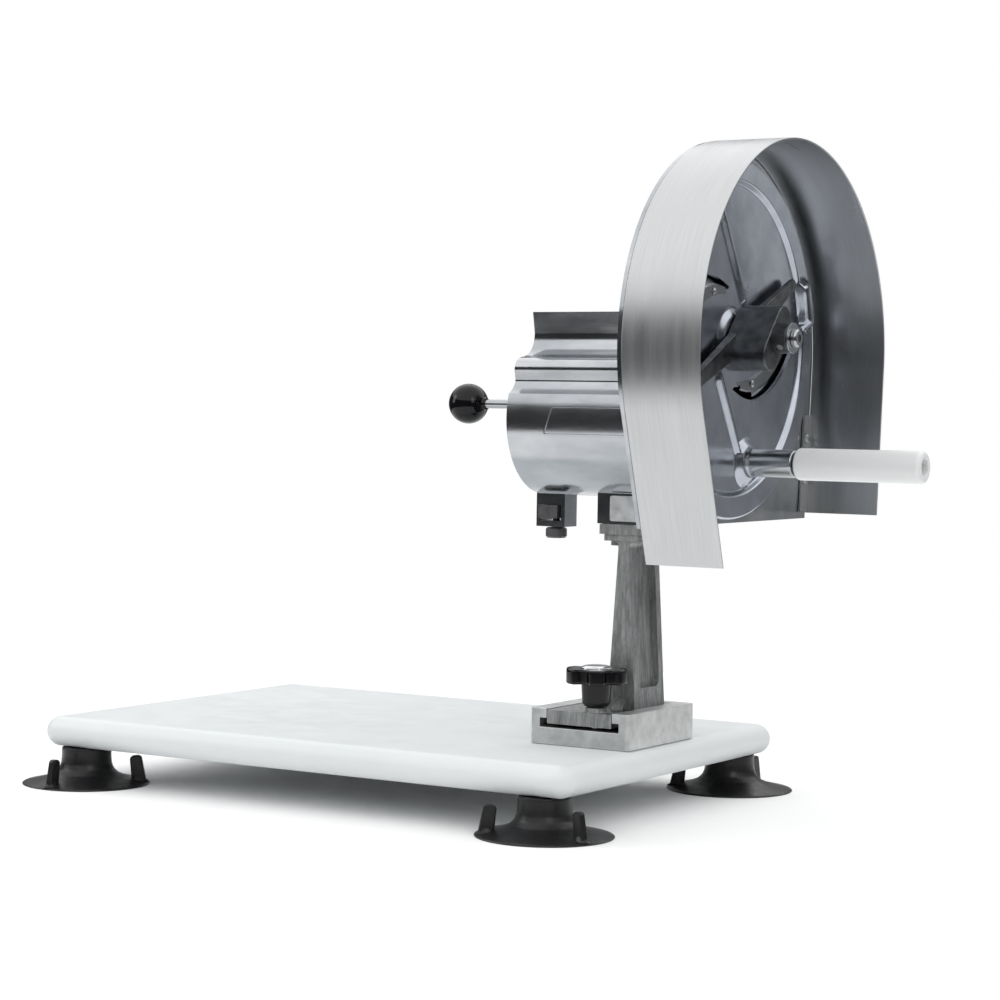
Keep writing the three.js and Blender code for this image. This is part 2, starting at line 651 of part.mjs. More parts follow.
function hubWasher() {
  return ring("x", bridge.boss, 3.6, bridge.bossFront + GAP, bridge.bossFront + 2.2, [0, axle.y, axle.z], 28);
}

function hexagon(acrossFlats) {
  const radius = acrossFlats / Math.sqrt(3);
  const points = [];
  for (let side = 0; side < 6; side += 1)
    points.push([radius * Math.cos((side * TURN) / 6), radius * Math.sin((side * TURN) / 6)]);
  return outline(points);
}

function hubBolt() {
  const seat = bridge.bossFront + 2.2 + GAP;
  const profile = [
    [0, 383], [3, 383], [3, seat], [7.5, seat], [7.5, seat + 3], [6, seat + 4.6], [0, seat + 4.6],
  ];
  const bolt = turned("x", profile, [0, axle.y, axle.z], 24);
  const socket = extruded("x", hexagon(6), seat + 1, seat + 6);
  return bolt.subtract(onAxle(socket));
}

// ---------------------------------------------------------------- handle
function handleSpindle() {
  const start = rotor.rim + 1.2 + GAP;
  const profile = [
    [0, rotor.rear + 0.4], [handle.pin, rotor.rear + 0.4], [handle.pin, start],
    [handle.boss + 0.8, start], [handle.boss, start + 3], [handle.boss, handle.gripStart - 2.2],
    [handle.boss - 1, handle.gripStart - 1.2], [handle.pin, handle.gripStart - 1.2],
    [handle.pin, handle.gripEnd - 12], [0, handle.gripEnd - 12],
  ];
  const spindle = turned("x", profile, [0, handle.y, handle.z], 24);
  const thread = rod("x", 2.6, handle.gripEnd - 30, handle.gripEnd - 11, [0, handle.y, handle.z], 12);
  return spindle.subtract(thread);
}

function handleGrip() {
  const outer = turned("x", [
    [0, handle.gripStart], [handle.grip - 1.5, handle.gripStart], [handle.grip, handle.gripStart + 1.5],
    [handle.grip, handle.gripEnd - 3], [handle.grip - 0.9, handle.gripEnd - 0.9],
    [handle.grip - 3, handle.gripEnd], [0, handle.gripEnd],
  ], [0, handle.y, handle.z], 24);
  const bore = rod("x", handle.pin + GAP, handle.gripStart - 1, handle.gripEnd, [0, handle.y, handle.z], 20);
  const mouth = rod("x", 7, handle.gripEnd - 10, handle.gripEnd + 1, [0, handle.y, handle.z], 20);
  return outer.subtract(bore).subtract(mouth);
}

function gripScrew() {
  const seat = handle.gripEnd - 9.6;
  const profile = [
    [0, seat - 19], [2.3, seat - 18], [2.3, seat], [6.2, seat], [6.2, seat + 1.6],
    [4, seat + 4], [0, seat + 4],
  ];
  const screw = turned("x", profile, [0, handle.y, handle.z], 20);
  const drive = extruded("x", hexagon(4.5), seat + 1.2, seat + 5);
  return screw.subtract(moved(drive, 0, handle.y, handle.z));
}

// ---------------------------------------------------------------- guard
function guardSheet() {
  const outer = extruded("x", archPath(guard.radius, guard.nearBottom, guard.farBottom),
    guard.rear, guard.front, 0, 24);
  const inner = extruded("x", archPath(guard.radius - guard.sheet, guard.nearBottom - 5, guard.farBottom - 5),
    guard.rear - 1, guard.front + 1, 0, 24);
  const flanges = [-1, 1].map((side) => {
    const corners = [
      legPoint(side, 0.2, guard.flangeBottom), legPoint(side, guard.flangeWidth, guard.flangeBottom),
      legPoint(side, guard.flangeWidth, guard.flangeTop), legPoint(side, 0.2, guard.flangeTop),
    ];
    return extruded("x", outline(corners), guard.rear, guard.rear + guard.sheet);
  });
  let sheet = moved(union([outer.subtract(inner), ...flanges]), 0, guard.y, guard.z);
  for (const { y, z } of guardScrewPlaces())
    sheet = sheet.subtract(rod("x", 2.3, guard.rear - 1, guard.rear + 3, [0, y, z], 10));
  return sheet;
}

function guardScrew({ y, z }) {
  const seat = guard.rear + guard.sheet + GAP;
  const profile = [
    [0, 340], [2, 341], [2, seat], [4.2, seat], [4.2, seat + 1.4], [2.6, seat + 2.6], [0, seat + 2.6],
  ];
  return turned("x", profile, [0, y, z], 10);
}

// ---------------------------------------------------------------- pusher
function pusherPlate() {
  const centre = [0, tube.y, tube.z];
  const profile = [
    [0, pusher.rear + 6], [pusher.radius - 4, pusher.rear + 6], [pusher.radius - 4, pusher.rear],
    [pusher.radius, pusher.rear], [pusher.radius, pusher.front - 2], [pusher.radius - 2, pusher.front],
    [0, pusher.front],
  ];
  const disc = turned("x", profile, centre, 36);
  const hole = rod("x", pusher.rod + GAP, pusher.rear - 1, pusher.front + 1, [0, tube.y, pusher.z], 16);
  const nutSeat = rod("x", 8, pusher.front - 6, pusher.front + 1, [0, tube.y, pusher.z], 16);
  return disc.subtract(hole).subtract(nutSeat);
}

function pusherRod() {
  return rod("x", pusher.rod, pusher.ballX, pusher.front - 1.5, [0, tube.y, pusher.z], 16);
}

function pusherNut() {
  const nut = extruded("x", hexagon(12.5), pusher.front - 5.7, pusher.front - 0.6, 0.5);
  const bore = rod("x", pusher.rod + GAP, pusher.front - 7, pusher.front + 1, [0, 0, 0], 16);
  return moved(nut.subtract(bore), 0, tube.y, pusher.z);
}

function pusherKnob() {
  const profile = [[0, pusher.ballX - pusher.ball]];
  const arcs = 9;
  const neckAngle = 155;
  for (let step = 1; step <= arcs; step += 1) {
    const angle = degrees((neckAngle * step) / arcs);
    profile.push([pusher.ball * Math.sin(angle), pusher.ballX - pusher.ball * Math.cos(angle)]);
  }
  const front = pusher.ballX + pusher.ball + 8;
  profile.push([6.2, pusher.ballX + 19], [5.6, front], [0, front]);
  const ball = turned("x", profile, [0, tube.y, pusher.z], 20);
  return ball.subtract(rod("x", pusher.rod + GAP, pusher.ballX - GAP, front + 1, [0, tube.y, pusher.z], 16));
}

// ---------------------------------------------------------------- assembly
const machine = new THREE.Group();
machine.name = "rotary_vegetable_slicer";
const stand = new THREE.Group();
const slicer = new THREE.Group();
machine.add(stand, slicer);

function add(name, solid, material, group = slicer) {
  const mesh = new THREE.Mesh(geometryFrom(solid), material());
  mesh.name = name;
  group.add(mesh);
}

add("cutting_board", cuttingBoard(), whitePlastic, stand);
for (const each of cups) {
  add("suction_cup_" + each.place, suctionCup(each), rubber, stand);
  add("foot_screw_" + each.place, footScrew(each), steel, stand);
}
add("mounting_base", mountingBase(), cast);
baseScrewPlaces().forEach((place, index) => add("base_screw_" + (index + 1), baseScrew(place), steel));
add("pedestal", pedestal(), cast);
pedestalBoltPlaces().forEach((place, index) => {
  add("pedestal_bolt_" + (index + 1), pedestalBolt(place), steel);
});
add("clamp_bushing", clampBushing(), steel);
add("clamp_stud", clampStud(), steel);
add("clamp_knob", clampKnob(), blackPlastic);
add("clamp_knob_cap", clampKnobCap(), stainless);
add("housing", housing(), polished);
add("label_plate", labelPlate(), stainless);
add("lug_bar", lugBar(), darkIron);
add("lug_thumb_screw", lugThumbScrew(), darkIron);
add("shaft_bush_rear", shaftBush(191.4, 220), bronze);
add("shaft_bush_front", flangedBush(322, 349.6, 1.9), bronze);
add("main_shaft", mainShaft(), steel);
add("retaining_collar", retainingCollar(), steel);
add("collar_screw", collarScrew(), steel);
add("thrust_washer", thrustWasher(), steel);
add("rotor_plate", rotorPlate(), polished);
add("blade_1", blade(false), stainless);
add("blade_2", blade(true), stainless);
bladeScrewPlaces().forEach((place, index) => {
  add("blade_screw_" + (index + 1), bladeScrew(place, 1), steel);
  add("blade_screw_" + (index + 3), bladeScrew(place, -1), steel);
});
add("knife_bridge", knifeBridge(), darkIron);
add("bridge_set_screw", bridgeSetScrew(), steel);
add("hub_washer", hubWasher(), steel);
add("hub_bolt", hubBolt(), steel);
add("handle_spindle", handleSpindle(), steel);
add("handle_grip", handleGrip(), whitePlastic);
add("grip_screw", gripScrew(), steel);
add("guard", guardSheet(), stainless);
guardScrewPlaces().forEach((place, index) => {
  add("guard_screw_" + (index + 1), guardScrew(place), steel);
});
add("pusher_plate", pusherPlate(), polished);
add("pusher_rod", pusherRod(), steel);
add("pusher_nut", pusherNut(), steel);
add("pusher_knob", pusherKnob(), blackPlastic);

slicer.position.set(slicerAt.x, slicerAt.y, slicerAt.z);
machine.position.x = -originX;

export default machine;
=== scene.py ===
"""Looks for the hand-cranked rotary vegetable slicer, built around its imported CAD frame."""
import json
import math

import bmesh
import bpy
from mathutils import Matrix, Vector


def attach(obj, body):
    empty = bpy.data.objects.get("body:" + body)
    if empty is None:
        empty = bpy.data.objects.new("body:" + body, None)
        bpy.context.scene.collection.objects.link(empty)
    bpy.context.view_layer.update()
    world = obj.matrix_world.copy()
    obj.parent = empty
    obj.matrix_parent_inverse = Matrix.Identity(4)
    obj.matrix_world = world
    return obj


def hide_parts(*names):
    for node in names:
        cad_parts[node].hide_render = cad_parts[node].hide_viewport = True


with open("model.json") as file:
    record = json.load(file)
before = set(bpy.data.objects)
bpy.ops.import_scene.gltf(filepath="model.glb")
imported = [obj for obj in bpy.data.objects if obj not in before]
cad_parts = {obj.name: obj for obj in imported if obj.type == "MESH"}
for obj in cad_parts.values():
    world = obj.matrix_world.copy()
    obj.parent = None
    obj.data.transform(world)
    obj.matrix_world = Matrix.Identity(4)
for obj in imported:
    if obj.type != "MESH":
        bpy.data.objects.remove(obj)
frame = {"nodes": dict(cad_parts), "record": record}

# Shapes are drawn in millimetres. The board and its feet are drawn about the middle of the feet,
# and everything else in the slicer's own frame, which sits at SLICER_AT on the board's.
ORIGIN_X = 91.9
SLICER_AT = Vector((-39, 30.7, -7.2))
BOARD_TO_ROW = Matrix.Scale(0.001, 4) @ Matrix.Translation((-ORIGIN_X, 0, 0))
SLICER_TO_ROW = BOARD_TO_ROW @ Matrix.Translation(SLICER_AT)
TURN = 2 * math.pi
GAP = 0.3

BOARD = {"length": 535, "width": 366, "bottom": 32.5, "top": 58.6, "corner": 14}
DECK = BOARD["top"] - SLICER_AT.z
CUPS = {"front_right": (234.6, -159.5, -82), "front_left": (-234.6, -159.5, -28.5),
        "rear_right": (234.6, 159.5, 146.5), "rear_left": (-234.6, 159.5, 40)}
CUP = {"radius": 55.6, "neck": 21.6, "fin_spread": 120, "fin_half": 2.6, "fin_root": 46.5}
BASE = {"x": 250.8, "y": -43, "width": 92.8, "length": 114.3, "height": 30, "corner": 3.5}
CHANNEL = {"opening": 30.7, "slot": 37.2, "floor": 80.3, "lip": 87.8, "stop_wall": 8, "play": 0.5}
FOOT = {"bottom": 83.4, "top": 94.8, "flange_top": 87.5, "rear": 5.8, "flange_front": -88}
COLUMN = {"front": -60, "rear": -8.7, "left": 254.4, "right": 280.8, "top_left": 262.7,
          "top_right": 272.6, "top": 234, "flare": 8, "gusset_rise": 16}
RECESS = {"y": -34, "z": 168, "width": 35, "height": 112, "depth": 5, "corner": 6}
SADDLE = {"bottom": 234, "step": 239.5, "top": 248, "front": -63, "rear": -7,
          "lower": (249.6, 300.4), "upper": (246.1, 303.4), "pad": (243.9, 305.2)}
CLAMP = {"x": 260.3, "y": -88.5, "radius": 26.4, "lobes": 6, "dip": 6.5, "hub": 99.4,
         "bottom": 118.5, "top": 130.8, "boss": 8.6, "boss_rise": 4.6, "cap": 13.4}
TUBE = {"y": -43, "z": 334, "radius": 63.8, "bore": 57.6, "rear": 180.8, "front": 344.2}
BACK_PLATE = {"rear": 344, "front": 347.4, "bottom": 251, "inset": 0.6}
WEB = {"half": 5, "bottom": 262, "top": 290}
LUG = {"rear": 179, "front": 206.6, "half": 10, "bottom": 243.2, "top": 275,
       "window": (248, 262), "wall": 4, "thread": 3.4}
BORDER = {"corners": [(216, 321.2), (317.3, 321.2), (317.3, 344.3), (224, 344.3)],
          "middle": (268, 332.7), "half_length": 50, "half_height": 11.5}
LABEL = {"x": 271.6, "z": 261, "width": 31, "height": 21, "corner": 2, "thick": 0.8}
# The rotor's raised shapes and the slots are measured from the axle, with angles in degrees.
AXLE = (-43, 401.8)
TUNNEL = 9.6
ROTOR = {"rear": 350.6, "field": 354.2, "radius": 147, "bore": 7, "edge": 1.8,
         "rim": 3.4, "rim_inner": 128.4, "hub_top": 17, "hub_foot": 25}
RIB = {"start": (20, 33), "end": (-31, 118), "rise": 3.1, "root_half": 7.5, "tip_half": 5}
RIM_LOBE = {"start": (134, 20), "end": (127, 45), "rise": 6.5, "half": 8.5}
CRANK_PAD = {"rise": 4.6, "top": 12.5, "foot": 21}
SLOT = {"start": -84, "end": 7, "radius": 42, "growth": 86, "power": 1.35, "width": 26, "opening": 0.7}
BLADE = {"edge": 17, "back": 40, "first": 0.16, "last": 0.92, "bevel": 4.5, "thick": 1.6,
         "land": 0.15}
BRIDGE = {"rear": 358.4, "front": 396.6, "boss_front": 408.4, "boss": 12.4, "half_width": 13,
          "reach": 18, "lean": 50, "screw_turn": 130, "screw_x": 402.6,
          "screw": 3, "screw_depth": 3.4}
BRIDGE_ARM = {"angle": 26, "start": 10, "end": 108, "root_half": 9.5, "tip_half": 5,
              "rear": 359, "front": 363.2, "rise": 3.5}
HUB_BOLT = {"shank": 3, "length": 10.9, "head": 7.5, "head_height": 4.6, "socket": 6, "washer": 1.9}
HANDLE = {"y": -13.5, "z": 300.6, "boss": 11.4, "grip": 13.1, "start": 402.8, "end": 513,
          "pin": 5, "pin_inside": 12, "counterbore": (7, 10)}
GUARD = {"y": -43, "z": 391, "radius": 170, "sheet": 1.6, "rear": 347.9, "front": 414.8,
         "near_lean": 17.5, "far_lean": 4, "near_bottom": 223.1, "far_bottom": 255.8,
         "flange_bottom": 257, "flange_top": 340, "flange_width": 15, "edge": 0.5, "edge_pull": 0.22}
PUSHER = {"z": 345.4, "ball": 17.2, "ball_x": 103, "neck": 5, "rod": 3.8,
          "rear": 263, "front": 285, "radius": 56.5, "wall": 4, "hollow": 6, "seat": 8}
CAMERA = {"azimuth": 31.8748, "elevation": 2.1177, "roll": 0.9, "distance": 2.2791,
          "lens": 95.21, "target": (89.58, 0, 255.65)}


# ------------------------ mesh helpers
def new_object(name, mesh_builder):
    """Turns a bmesh into an object of the scene, with its faces pointing out."""
    bmesh.ops.recalc_face_normals(mesh_builder, faces=mesh_builder.faces)
    mesh = bpy.data.meshes.new(name)
    mesh_builder.normal_update()
    mesh_builder.to_mesh(mesh)
    mesh_builder.free()
    shape = bpy.data.objects.new(name, mesh)
    bpy.context.scene.collection.objects.link(shape)
    return shape


def along(axis, across, up, distance):
    """A point of a drawing whose plane faces the given axis."""
    if axis == "x":
        return Vector((distance, across, up))
    if axis == "y":
        return Vector((across, distance, up))
    return Vector((across, up, distance))


def join_rings(build, rings):
    """Closes the skin between each ring of corners and the next."""
    for lower, upper in zip(rings, rings[1:]):
        for i in range(len(lower)):
            j = (i + 1) % len(lower)
            build.faces.new((lower[i], lower[j], upper[j], upper[i]))


def prism(name, points, axis, low, high):
    """An outline pushed along an axis."""
    build = bmesh.new()
    rings = [[build.verts.new(along(axis, a, b, d)) for a, b in points] for d in (low, high)]
    build.faces.new(rings[0])
    build.faces.new(rings[1])
    join_rings(build, rings)
    return new_object(name, build)


def block(name, x0, x1, y0, y1, z0, z1):
    """A box between two corners."""
    return prism(name, [(x0, y0), (x1, y0), (x1, y1), (x0, y1)], "z", z0, z1)


def lathe(name, profile, axis, centre, segments=72):
    """A turned piece: (radius, distance along the axis) pairs, from one end on the axis to the other."""
    build = bmesh.new()
    rings = []
    for radius, distance in profile:
        if radius < 1e-6:
            rings.append([build.verts.new(along(axis, 0, 0, distance))])
            continue
        rings.append([
            build.verts.new(along(axis, radius * math.cos(i * TURN / segments),
                                  radius * math.sin(i * TURN / segments), distance))
            for i in range(segments)
        ])
    for lower, upper in zip(rings, rings[1:]):
        for i in range(segments):
            j = (i + 1) % segments
            corners = [lower[i % len(lower)], lower[j % len(lower)],
                       upper[j % len(upper)], upper[i % len(upper)]]
            unique = list(dict.fromkeys(corners))
            if len(unique) > 2:
                build.faces.new(unique)
    bmesh.ops.translate(build, verts=build.verts, vec=Vector(centre))
    return new_object(name, build)


def cylinder(name, radius, low, high, axis, centre, segments):
    """A plain round bar, or the drill for a round hole."""
    return lathe(name, [(0, low), (radius, low), (radius, high), (0, high)], axis, centre, segments)


def rounded(profile, radius, steps=4):
    """The profile with each inner corner replaced by a small arc."""
    smooth = [profile[0]]
    for before, corner, after in zip(profile, profile[1:], profile[2:]):
        into = Vector(before) - Vector(corner)
        out = Vector(after) - Vector(corner)
        reach = min(radius, into.length * 0.45, out.length * 0.45)
        if reach < 0.02:
            smooth.append(corner)
            continue
        start = Vector(corner) + into.normalized() * reach
        end = Vector(corner) + out.normalized() * reach
        for step in range(steps + 1):
            t = step / steps
            point = start * (1 - t) ** 2 + Vector(corner) * 2 * t * (1 - t) + end * t ** 2
            smooth.append(tuple(point))
    smooth.append(profile[-1])
    return smooth


def apply_modifiers(shape):
    """Bakes the modifiers into the object's own mesh."""
    graph = bpy.context.evaluated_depsgraph_get()
    mesh = bpy.data.meshes.new_from_object(shape.evaluated_get(graph))
    shape.modifiers.clear()
    shape.data = mesh
    return shape


def combine(shape, other, operation):
    """One boolean step, which uses the other object up."""
    modifier = shape.modifiers.new("combine", "BOOLEAN")
    modifier.operation = operation
    modifier.solver = "EXACT"
    modifier.object = other
    apply_modifiers(shape)
    bpy.data.objects.remove(other)
    return shape


def cut(shape, *others):
    """Takes the others away from the shape."""
    for other in others:
        combine(shape, other, "DIFFERENCE")
    return shape


def fuse(shape, *others):
    """Joins the others to the shape as one solid."""
    for other in others:
        combine(shape, other, "UNION")
    return shape


def soften(shape, width, segments=3, angle=32):
    """Rounds the sharp edges."""
    modifier = shape.modifiers.new("round", "BEVEL")
    modifier.width = width
    modifier.segments = segments
    modifier.limit_method = "ANGLE"
    modifier.angle_limit = math.radians(angle)
    modifier.harden_normals = False
    return apply_modifiers(shape)


def merge(shape, *others):
    """Adds the meshes of other objects to this one as they are."""
    build = bmesh.new()
    for each in (shape, *others):
        build.from_mesh(each.data)
    build.to_mesh(shape.data)
    build.free()
    for each in others:
        bpy.data.objects.remove(each)
    return shape


def rotate_about_x(shape, angle, centre):
    """Turns the mesh in degrees about a line along X."""
    turn = Matrix.Translation(centre) @ Matrix.Rotation(math.radians(angle), 4, "X")
    shape.data.transform(turn @ Matrix.Translation(-Vector(centre)))
    return shape


def smooth_shade(shape, angle=32):
    """Smooth shading that keeps edges sharper than the angle, and flat faces flat."""
    build = bmesh.new()
    build.from_mesh(shape.data)
    for face in build.faces:
        face.smooth = True
    for edge in build.edges:
        edge.smooth = not (len(edge.link_faces) == 2 and edge.calc_face_angle(0) > math.radians(angle))
    build.to_mesh(shape.data)
    build.free()
    modifier = shape.modifiers.new("flat faces stay flat", "WEIGHTED_NORMAL")
    modifier.keep_sharp = True
    modifier.weight = 90
    apply_modifiers(shape)


def place(shape, body, nodes, slot, angle=32, drawn_in=SLICER_TO_ROW):
    """Puts a finished piece in the row frame, dresses it and ties it to its body."""
    smooth_shade(shape, angle)
    shape.data.transform(drawn_in)
    shape.data.materials.clear()
    shape.data.materials.append(MATERIAL[slot])
    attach(shape, body)
    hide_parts(*nodes)
    return shape


def arc(cx, cy, radius, start, end, steps):
    """Points on a circle from one angle to another, in degrees."""
    points = []
    for step in range(steps + 1):
        angle = math.radians(start + (end - start) * step / steps)
        points.append((cx + radius * math.cos(angle), cy + radius * math.sin(angle)))
    return points


def curve(start, control, end, steps=8):
    """Points of a quadratic curve after its start."""
    points = []
    for step in range(1, steps + 1):
        t = step / steps
        points.append(tuple((1 - t) ** 2 * s + 2 * t * (1 - t) * c + t * t * e
                            for s, c, e in zip(start, control, end)))
    return points


def rounded_rectangle(width, height, corner, steps=8, centre=(0, 0)):
    """A rectangle with round corners, drawn anticlockwise."""
    x, y = width / 2 - corner, height / 2 - corner
    points = []
    for sx, sy, start in ((1, 1, 0), (-1, 1, 90), (-1, -1, 180), (1, -1, 270)):
        points += arc(centre[0] + sx * x, centre[1] + sy * y, corner, start, start + 90, steps)
    return points


def hexagon(across_flats):
    """The six corners of a hexagon about the origin."""
    return arc(0, 0, across_flats / math.sqrt(3), 0, 300, 5)


# ------------------------ material helpers
class Surface:
    """A procedural material: one shader with colour, roughness and bump driven by noise."""

    def __init__(self, name, color, metallic, roughness):
        self.material = bpy.data.materials.new(name)
        self.material.use_nodes = True
        self.nodes = self.material.node_tree.nodes
        self.links = self.material.node_tree.links
        self.shader = self.nodes["Principled BSDF"]
        self.shader.inputs["Base Color"].default_value = (*color, 1)
        self.shader.inputs["Metallic"].default_value = metallic
        self.shader.inputs["Roughness"].default_value = roughness
        self.coordinates = self.nodes.new("ShaderNodeTexCoord")
        self.bump = None

    def noise(self, scale, detail=4.0, roughness=0.55, stretch=(1, 1, 1), space="Object"):
        """Noise in the object's metres, or in another set of coordinates."""
        mapping = self.nodes.new("ShaderNodeMapping")
        mapping.inputs["Scale"].default_value = stretch
        texture = self.nodes.new("ShaderNodeTexNoise")
        texture.inputs["Scale"].default_value = scale
        texture.inputs["Detail"].default_value = detail
        texture.inputs["Roughness"].default_value = roughness
        self.links.new(self.coordinates.outputs[space], mapping.inputs["Vector"])
        self.links.new(mapping.outputs["Vector"], texture.inputs["Vector"])
        return texture.outputs["Fac"]

    def ramp(self, source, low, high, start=0.3, end=0.7):
        """Maps the noise from start to end onto low to high."""
        node = self.nodes.new("ShaderNodeMapRange")
        node.inputs["From Min"].default_value = start
        node.inputs["From Max"].default_value = end
        node.inputs["To Min"].default_value = low
        node.inputs["To Max"].default_value = high
        self.links.new(source, node.inputs["Value"])
        return node.outputs["Result"]

    def vary_roughness(self, source, low, high, start=0.3, end=0.7):
        """Lets the noise drive the gloss."""
        self.links.new(self.ramp(source, low, high, start, end), self.shader.inputs["Roughness"])
        return self

    def vary_color(self, source, dark, light, start=0.3, end=0.7):
        """Lets the noise mix two colours."""
        mix = self.nodes.new("ShaderNodeMix")
        mix.data_type = "RGBA"
        mix.inputs["A"].default_value = (*dark, 1)
        mix.inputs["B"].default_value = (*light, 1)
        self.links.new(self.ramp(source, 0, 1, start, end), mix.inputs["Factor"])
        self.links.new(mix.outputs["Result"], self.shader.inputs["Base Color"])
        return self

    def add_bump(self, source, strength, distance):
        """Adds a layer of relief, its depth in metres, on top of the last one."""
        node = self.nodes.new("ShaderNodeBump")
        node.inputs["Strength"].default_value = strength
        node.inputs["Distance"].default_value = distance
        self.links.new(source, node.inputs["Height"])
        if self.bump:
            self.links.new(self.bump.outputs["Normal"], node.inputs["Normal"])
        self.bump = node
        self.links.new(node.outputs["Normal"], self.shader.inputs["Normal"])
        return self


def board_plastic():
    """Cutting-board plastic: milky, faintly blotched, with a fine grain."""
    surface = Surface("white board plastic", (0.8, 0.83, 0.84), 0, 0.42)
    surface.vary_roughness(surface.noise(60, 3), 0.36, 0.5)
    surface.vary_color(surface.noise(7, 3), (0.71, 0.74, 0.75), (0.76, 0.785, 0.79))
    surface.add_bump(surface.noise(900, 2), 0.12, 0.0004)
    surface.add_bump(surface.noise(16, 3), 0.05, 0.002)
    return surface.material


def rubber():
    """Black rubber with a soft, uneven sheen."""
    surface = Surface("black rubber", (0.008, 0.008, 0.009), 0, 0.32)
    surface.shader.inputs["Specular IOR Level"].default_value = 0.35
    surface.vary_roughness(surface.noise(90, 4), 0.26, 0.4)
    surface.add_bump(surface.noise(400, 3), 0.1, 0.0004)
    return surface.material


def cast_satin():
    """Light sand-cast aluminium with a fine grain."""
    surface = Surface("satin cast aluminium", (0.52, 0.53, 0.53), 1, 0.42)
    surface.vary_color(surface.noise(70, 6, 0.65), (0.5, 0.51, 0.51), (0.74, 0.75, 0.75))
    surface.vary_roughness(surface.noise(240, 4), 0.36, 0.52)
    surface.add_bump(surface.noise(650, 5, 0.7), 0.22, 0.0006)
    return surface.material


def cast_rough():
    """Dark sand-cast aluminium, streaked along its height."""
    surface = Surface("rough cast aluminium", (0.4, 0.41, 0.41), 1, 0.5)
    surface.vary_color(surface.noise(220, 8, 0.8, (1, 1, 0.12)), (0.13, 0.135, 0.135), (0.5, 0.51, 0.51))
    surface.vary_roughness(surface.noise(200, 4), 0.4, 0.62)
    surface.add_bump(surface.noise(420, 6, 0.75), 0.4, 0.0012)
    return surface.material


def polished_cast():
    """Aluminium buffed along the tube, still a little wavy."""
    surface = Surface("buffed cast aluminium", (0.48, 0.49, 0.51), 1, 0.24)
    surface.vary_color(surface.noise(26, 4, 0.6, (0.4, 1, 1)), (0.34, 0.36, 0.38), (0.54, 0.55, 0.57))
    surface.vary_roughness(surface.noise(50, 5, 0.6, (0.25, 1, 1)), 0.12, 0.22)
    surface.add_bump(surface.noise(30, 2, 0.5, (0.3, 1, 1)), 0.08, 0.0015)
    surface.add_bump(surface.noise(500, 3, 0.6, (0.1, 1, 1)), 0.04, 0.0003)
    return surface.material


def polished_rotor():
    """Bluish polished aluminium with the casting's waves left in it."""
    surface = Surface("polished rotor", (0.42, 0.45, 0.5), 1, 0.22)
    surface.vary_color(surface.noise(30, 5, 0.6), (0.34, 0.37, 0.42), (0.5, 0.52, 0.58))
    surface.vary_roughness(surface.noise(45, 5, 0.6), 0.16, 0.28)
    surface.add_bump(surface.noise(26, 3), 0.12, 0.002)
    return surface.material


def brushed_sheet():
    """Long scratches along the sheet, drawn in its unrolled coordinates."""
    surface = Surface("brushed stainless sheet", (0.55, 0.56, 0.56), 1, 0.3)
    fine = surface.noise(1, 5, 0.7, (14, 1500, 1), "UV")
    broad = surface.noise(1, 3, 0.6, (6, 90, 1), "UV")
    surface.vary_color(fine, (0.5, 0.51, 0.515), (0.59, 0.6, 0.605), 0.35, 0.65)
    surface.vary_roughness(broad, 0.27, 0.33)
    surface.add_bump(fine, 0.06, 0.0003)
    surface.shader.inputs["Anisotropic"].default_value = 0.5
    tangent = surface.nodes.new("ShaderNodeTangent")
    tangent.direction_type = "UV_MAP"
    tangent.uv_map = "sheet"
    surface.links.new(tangent.outputs["Tangent"], surface.shader.inputs["Tangent"])
    return surface.material


def steel(name="turned steel", color=(0.42, 0.43, 0.44), roughness=0.2):
    """Plain metal whose gloss varies a little."""
    surface = Surface(name, color, 1, roughness)
    surface.vary_roughness(surface.noise(120, 3), roughness * 0.85, roughness * 1.25)
    surface.add_bump(surface.noise(60, 2), 0.03, 0.0006)
    return surface.material


def dark_bridge():
    """Dark cast metal, mottled and dull. On the bridge's arms this dark colour is painted reflection,
    standing in for the dark room that polished arms would mirror.
    """
    surface = Surface("dark cast bridge, painted reflection on arms", (0.1, 0.105, 0.11), 1, 0.4)
    surface.vary_color(surface.noise(90, 5), (0.07, 0.075, 0.08), (0.16, 0.165, 0.17))
    surface.vary_roughness(surface.noise(150, 4), 0.3, 0.5)
    surface.add_bump(surface.noise(420, 5), 0.25, 0.0006)
    return surface.material


def gloss_black():
    """Moulded black plastic, nearly a mirror."""
    surface = Surface("gloss black plastic", (0.005, 0.005, 0.006), 0, 0.1)
    surface.shader.inputs["Specular IOR Level"].default_value = 0.3
    surface.vary_roughness(surface.noise(60, 4), 0.06, 0.14)
    surface.add_bump(surface.noise(70, 2), 0.02, 0.0005)
    return surface.material


def grip_plastic():
    """White plastic with faint marks along the grip."""
    surface = Surface("white grip plastic", (0.9, 0.91, 0.91), 0, 0.34)
    surface.vary_roughness(surface.noise(50, 3, 0.5, (0.1, 1, 1)), 0.28, 0.42)
    surface.add_bump(surface.noise(200, 3, 0.5, (0.02, 1, 1)), 0.1, 0.0004)
    return surface.material


def bronze():
    """Porous bronze for the bushes."""
    surface = Surface("sintered bronze", (0.48, 0.3, 0.13), 1, 0.4)
    surface.vary_roughness(surface.noise(400, 3), 0.32, 0.5)
    surface.add_bump(surface.noise(800, 3), 0.1, 0.0003)
    return surface.material


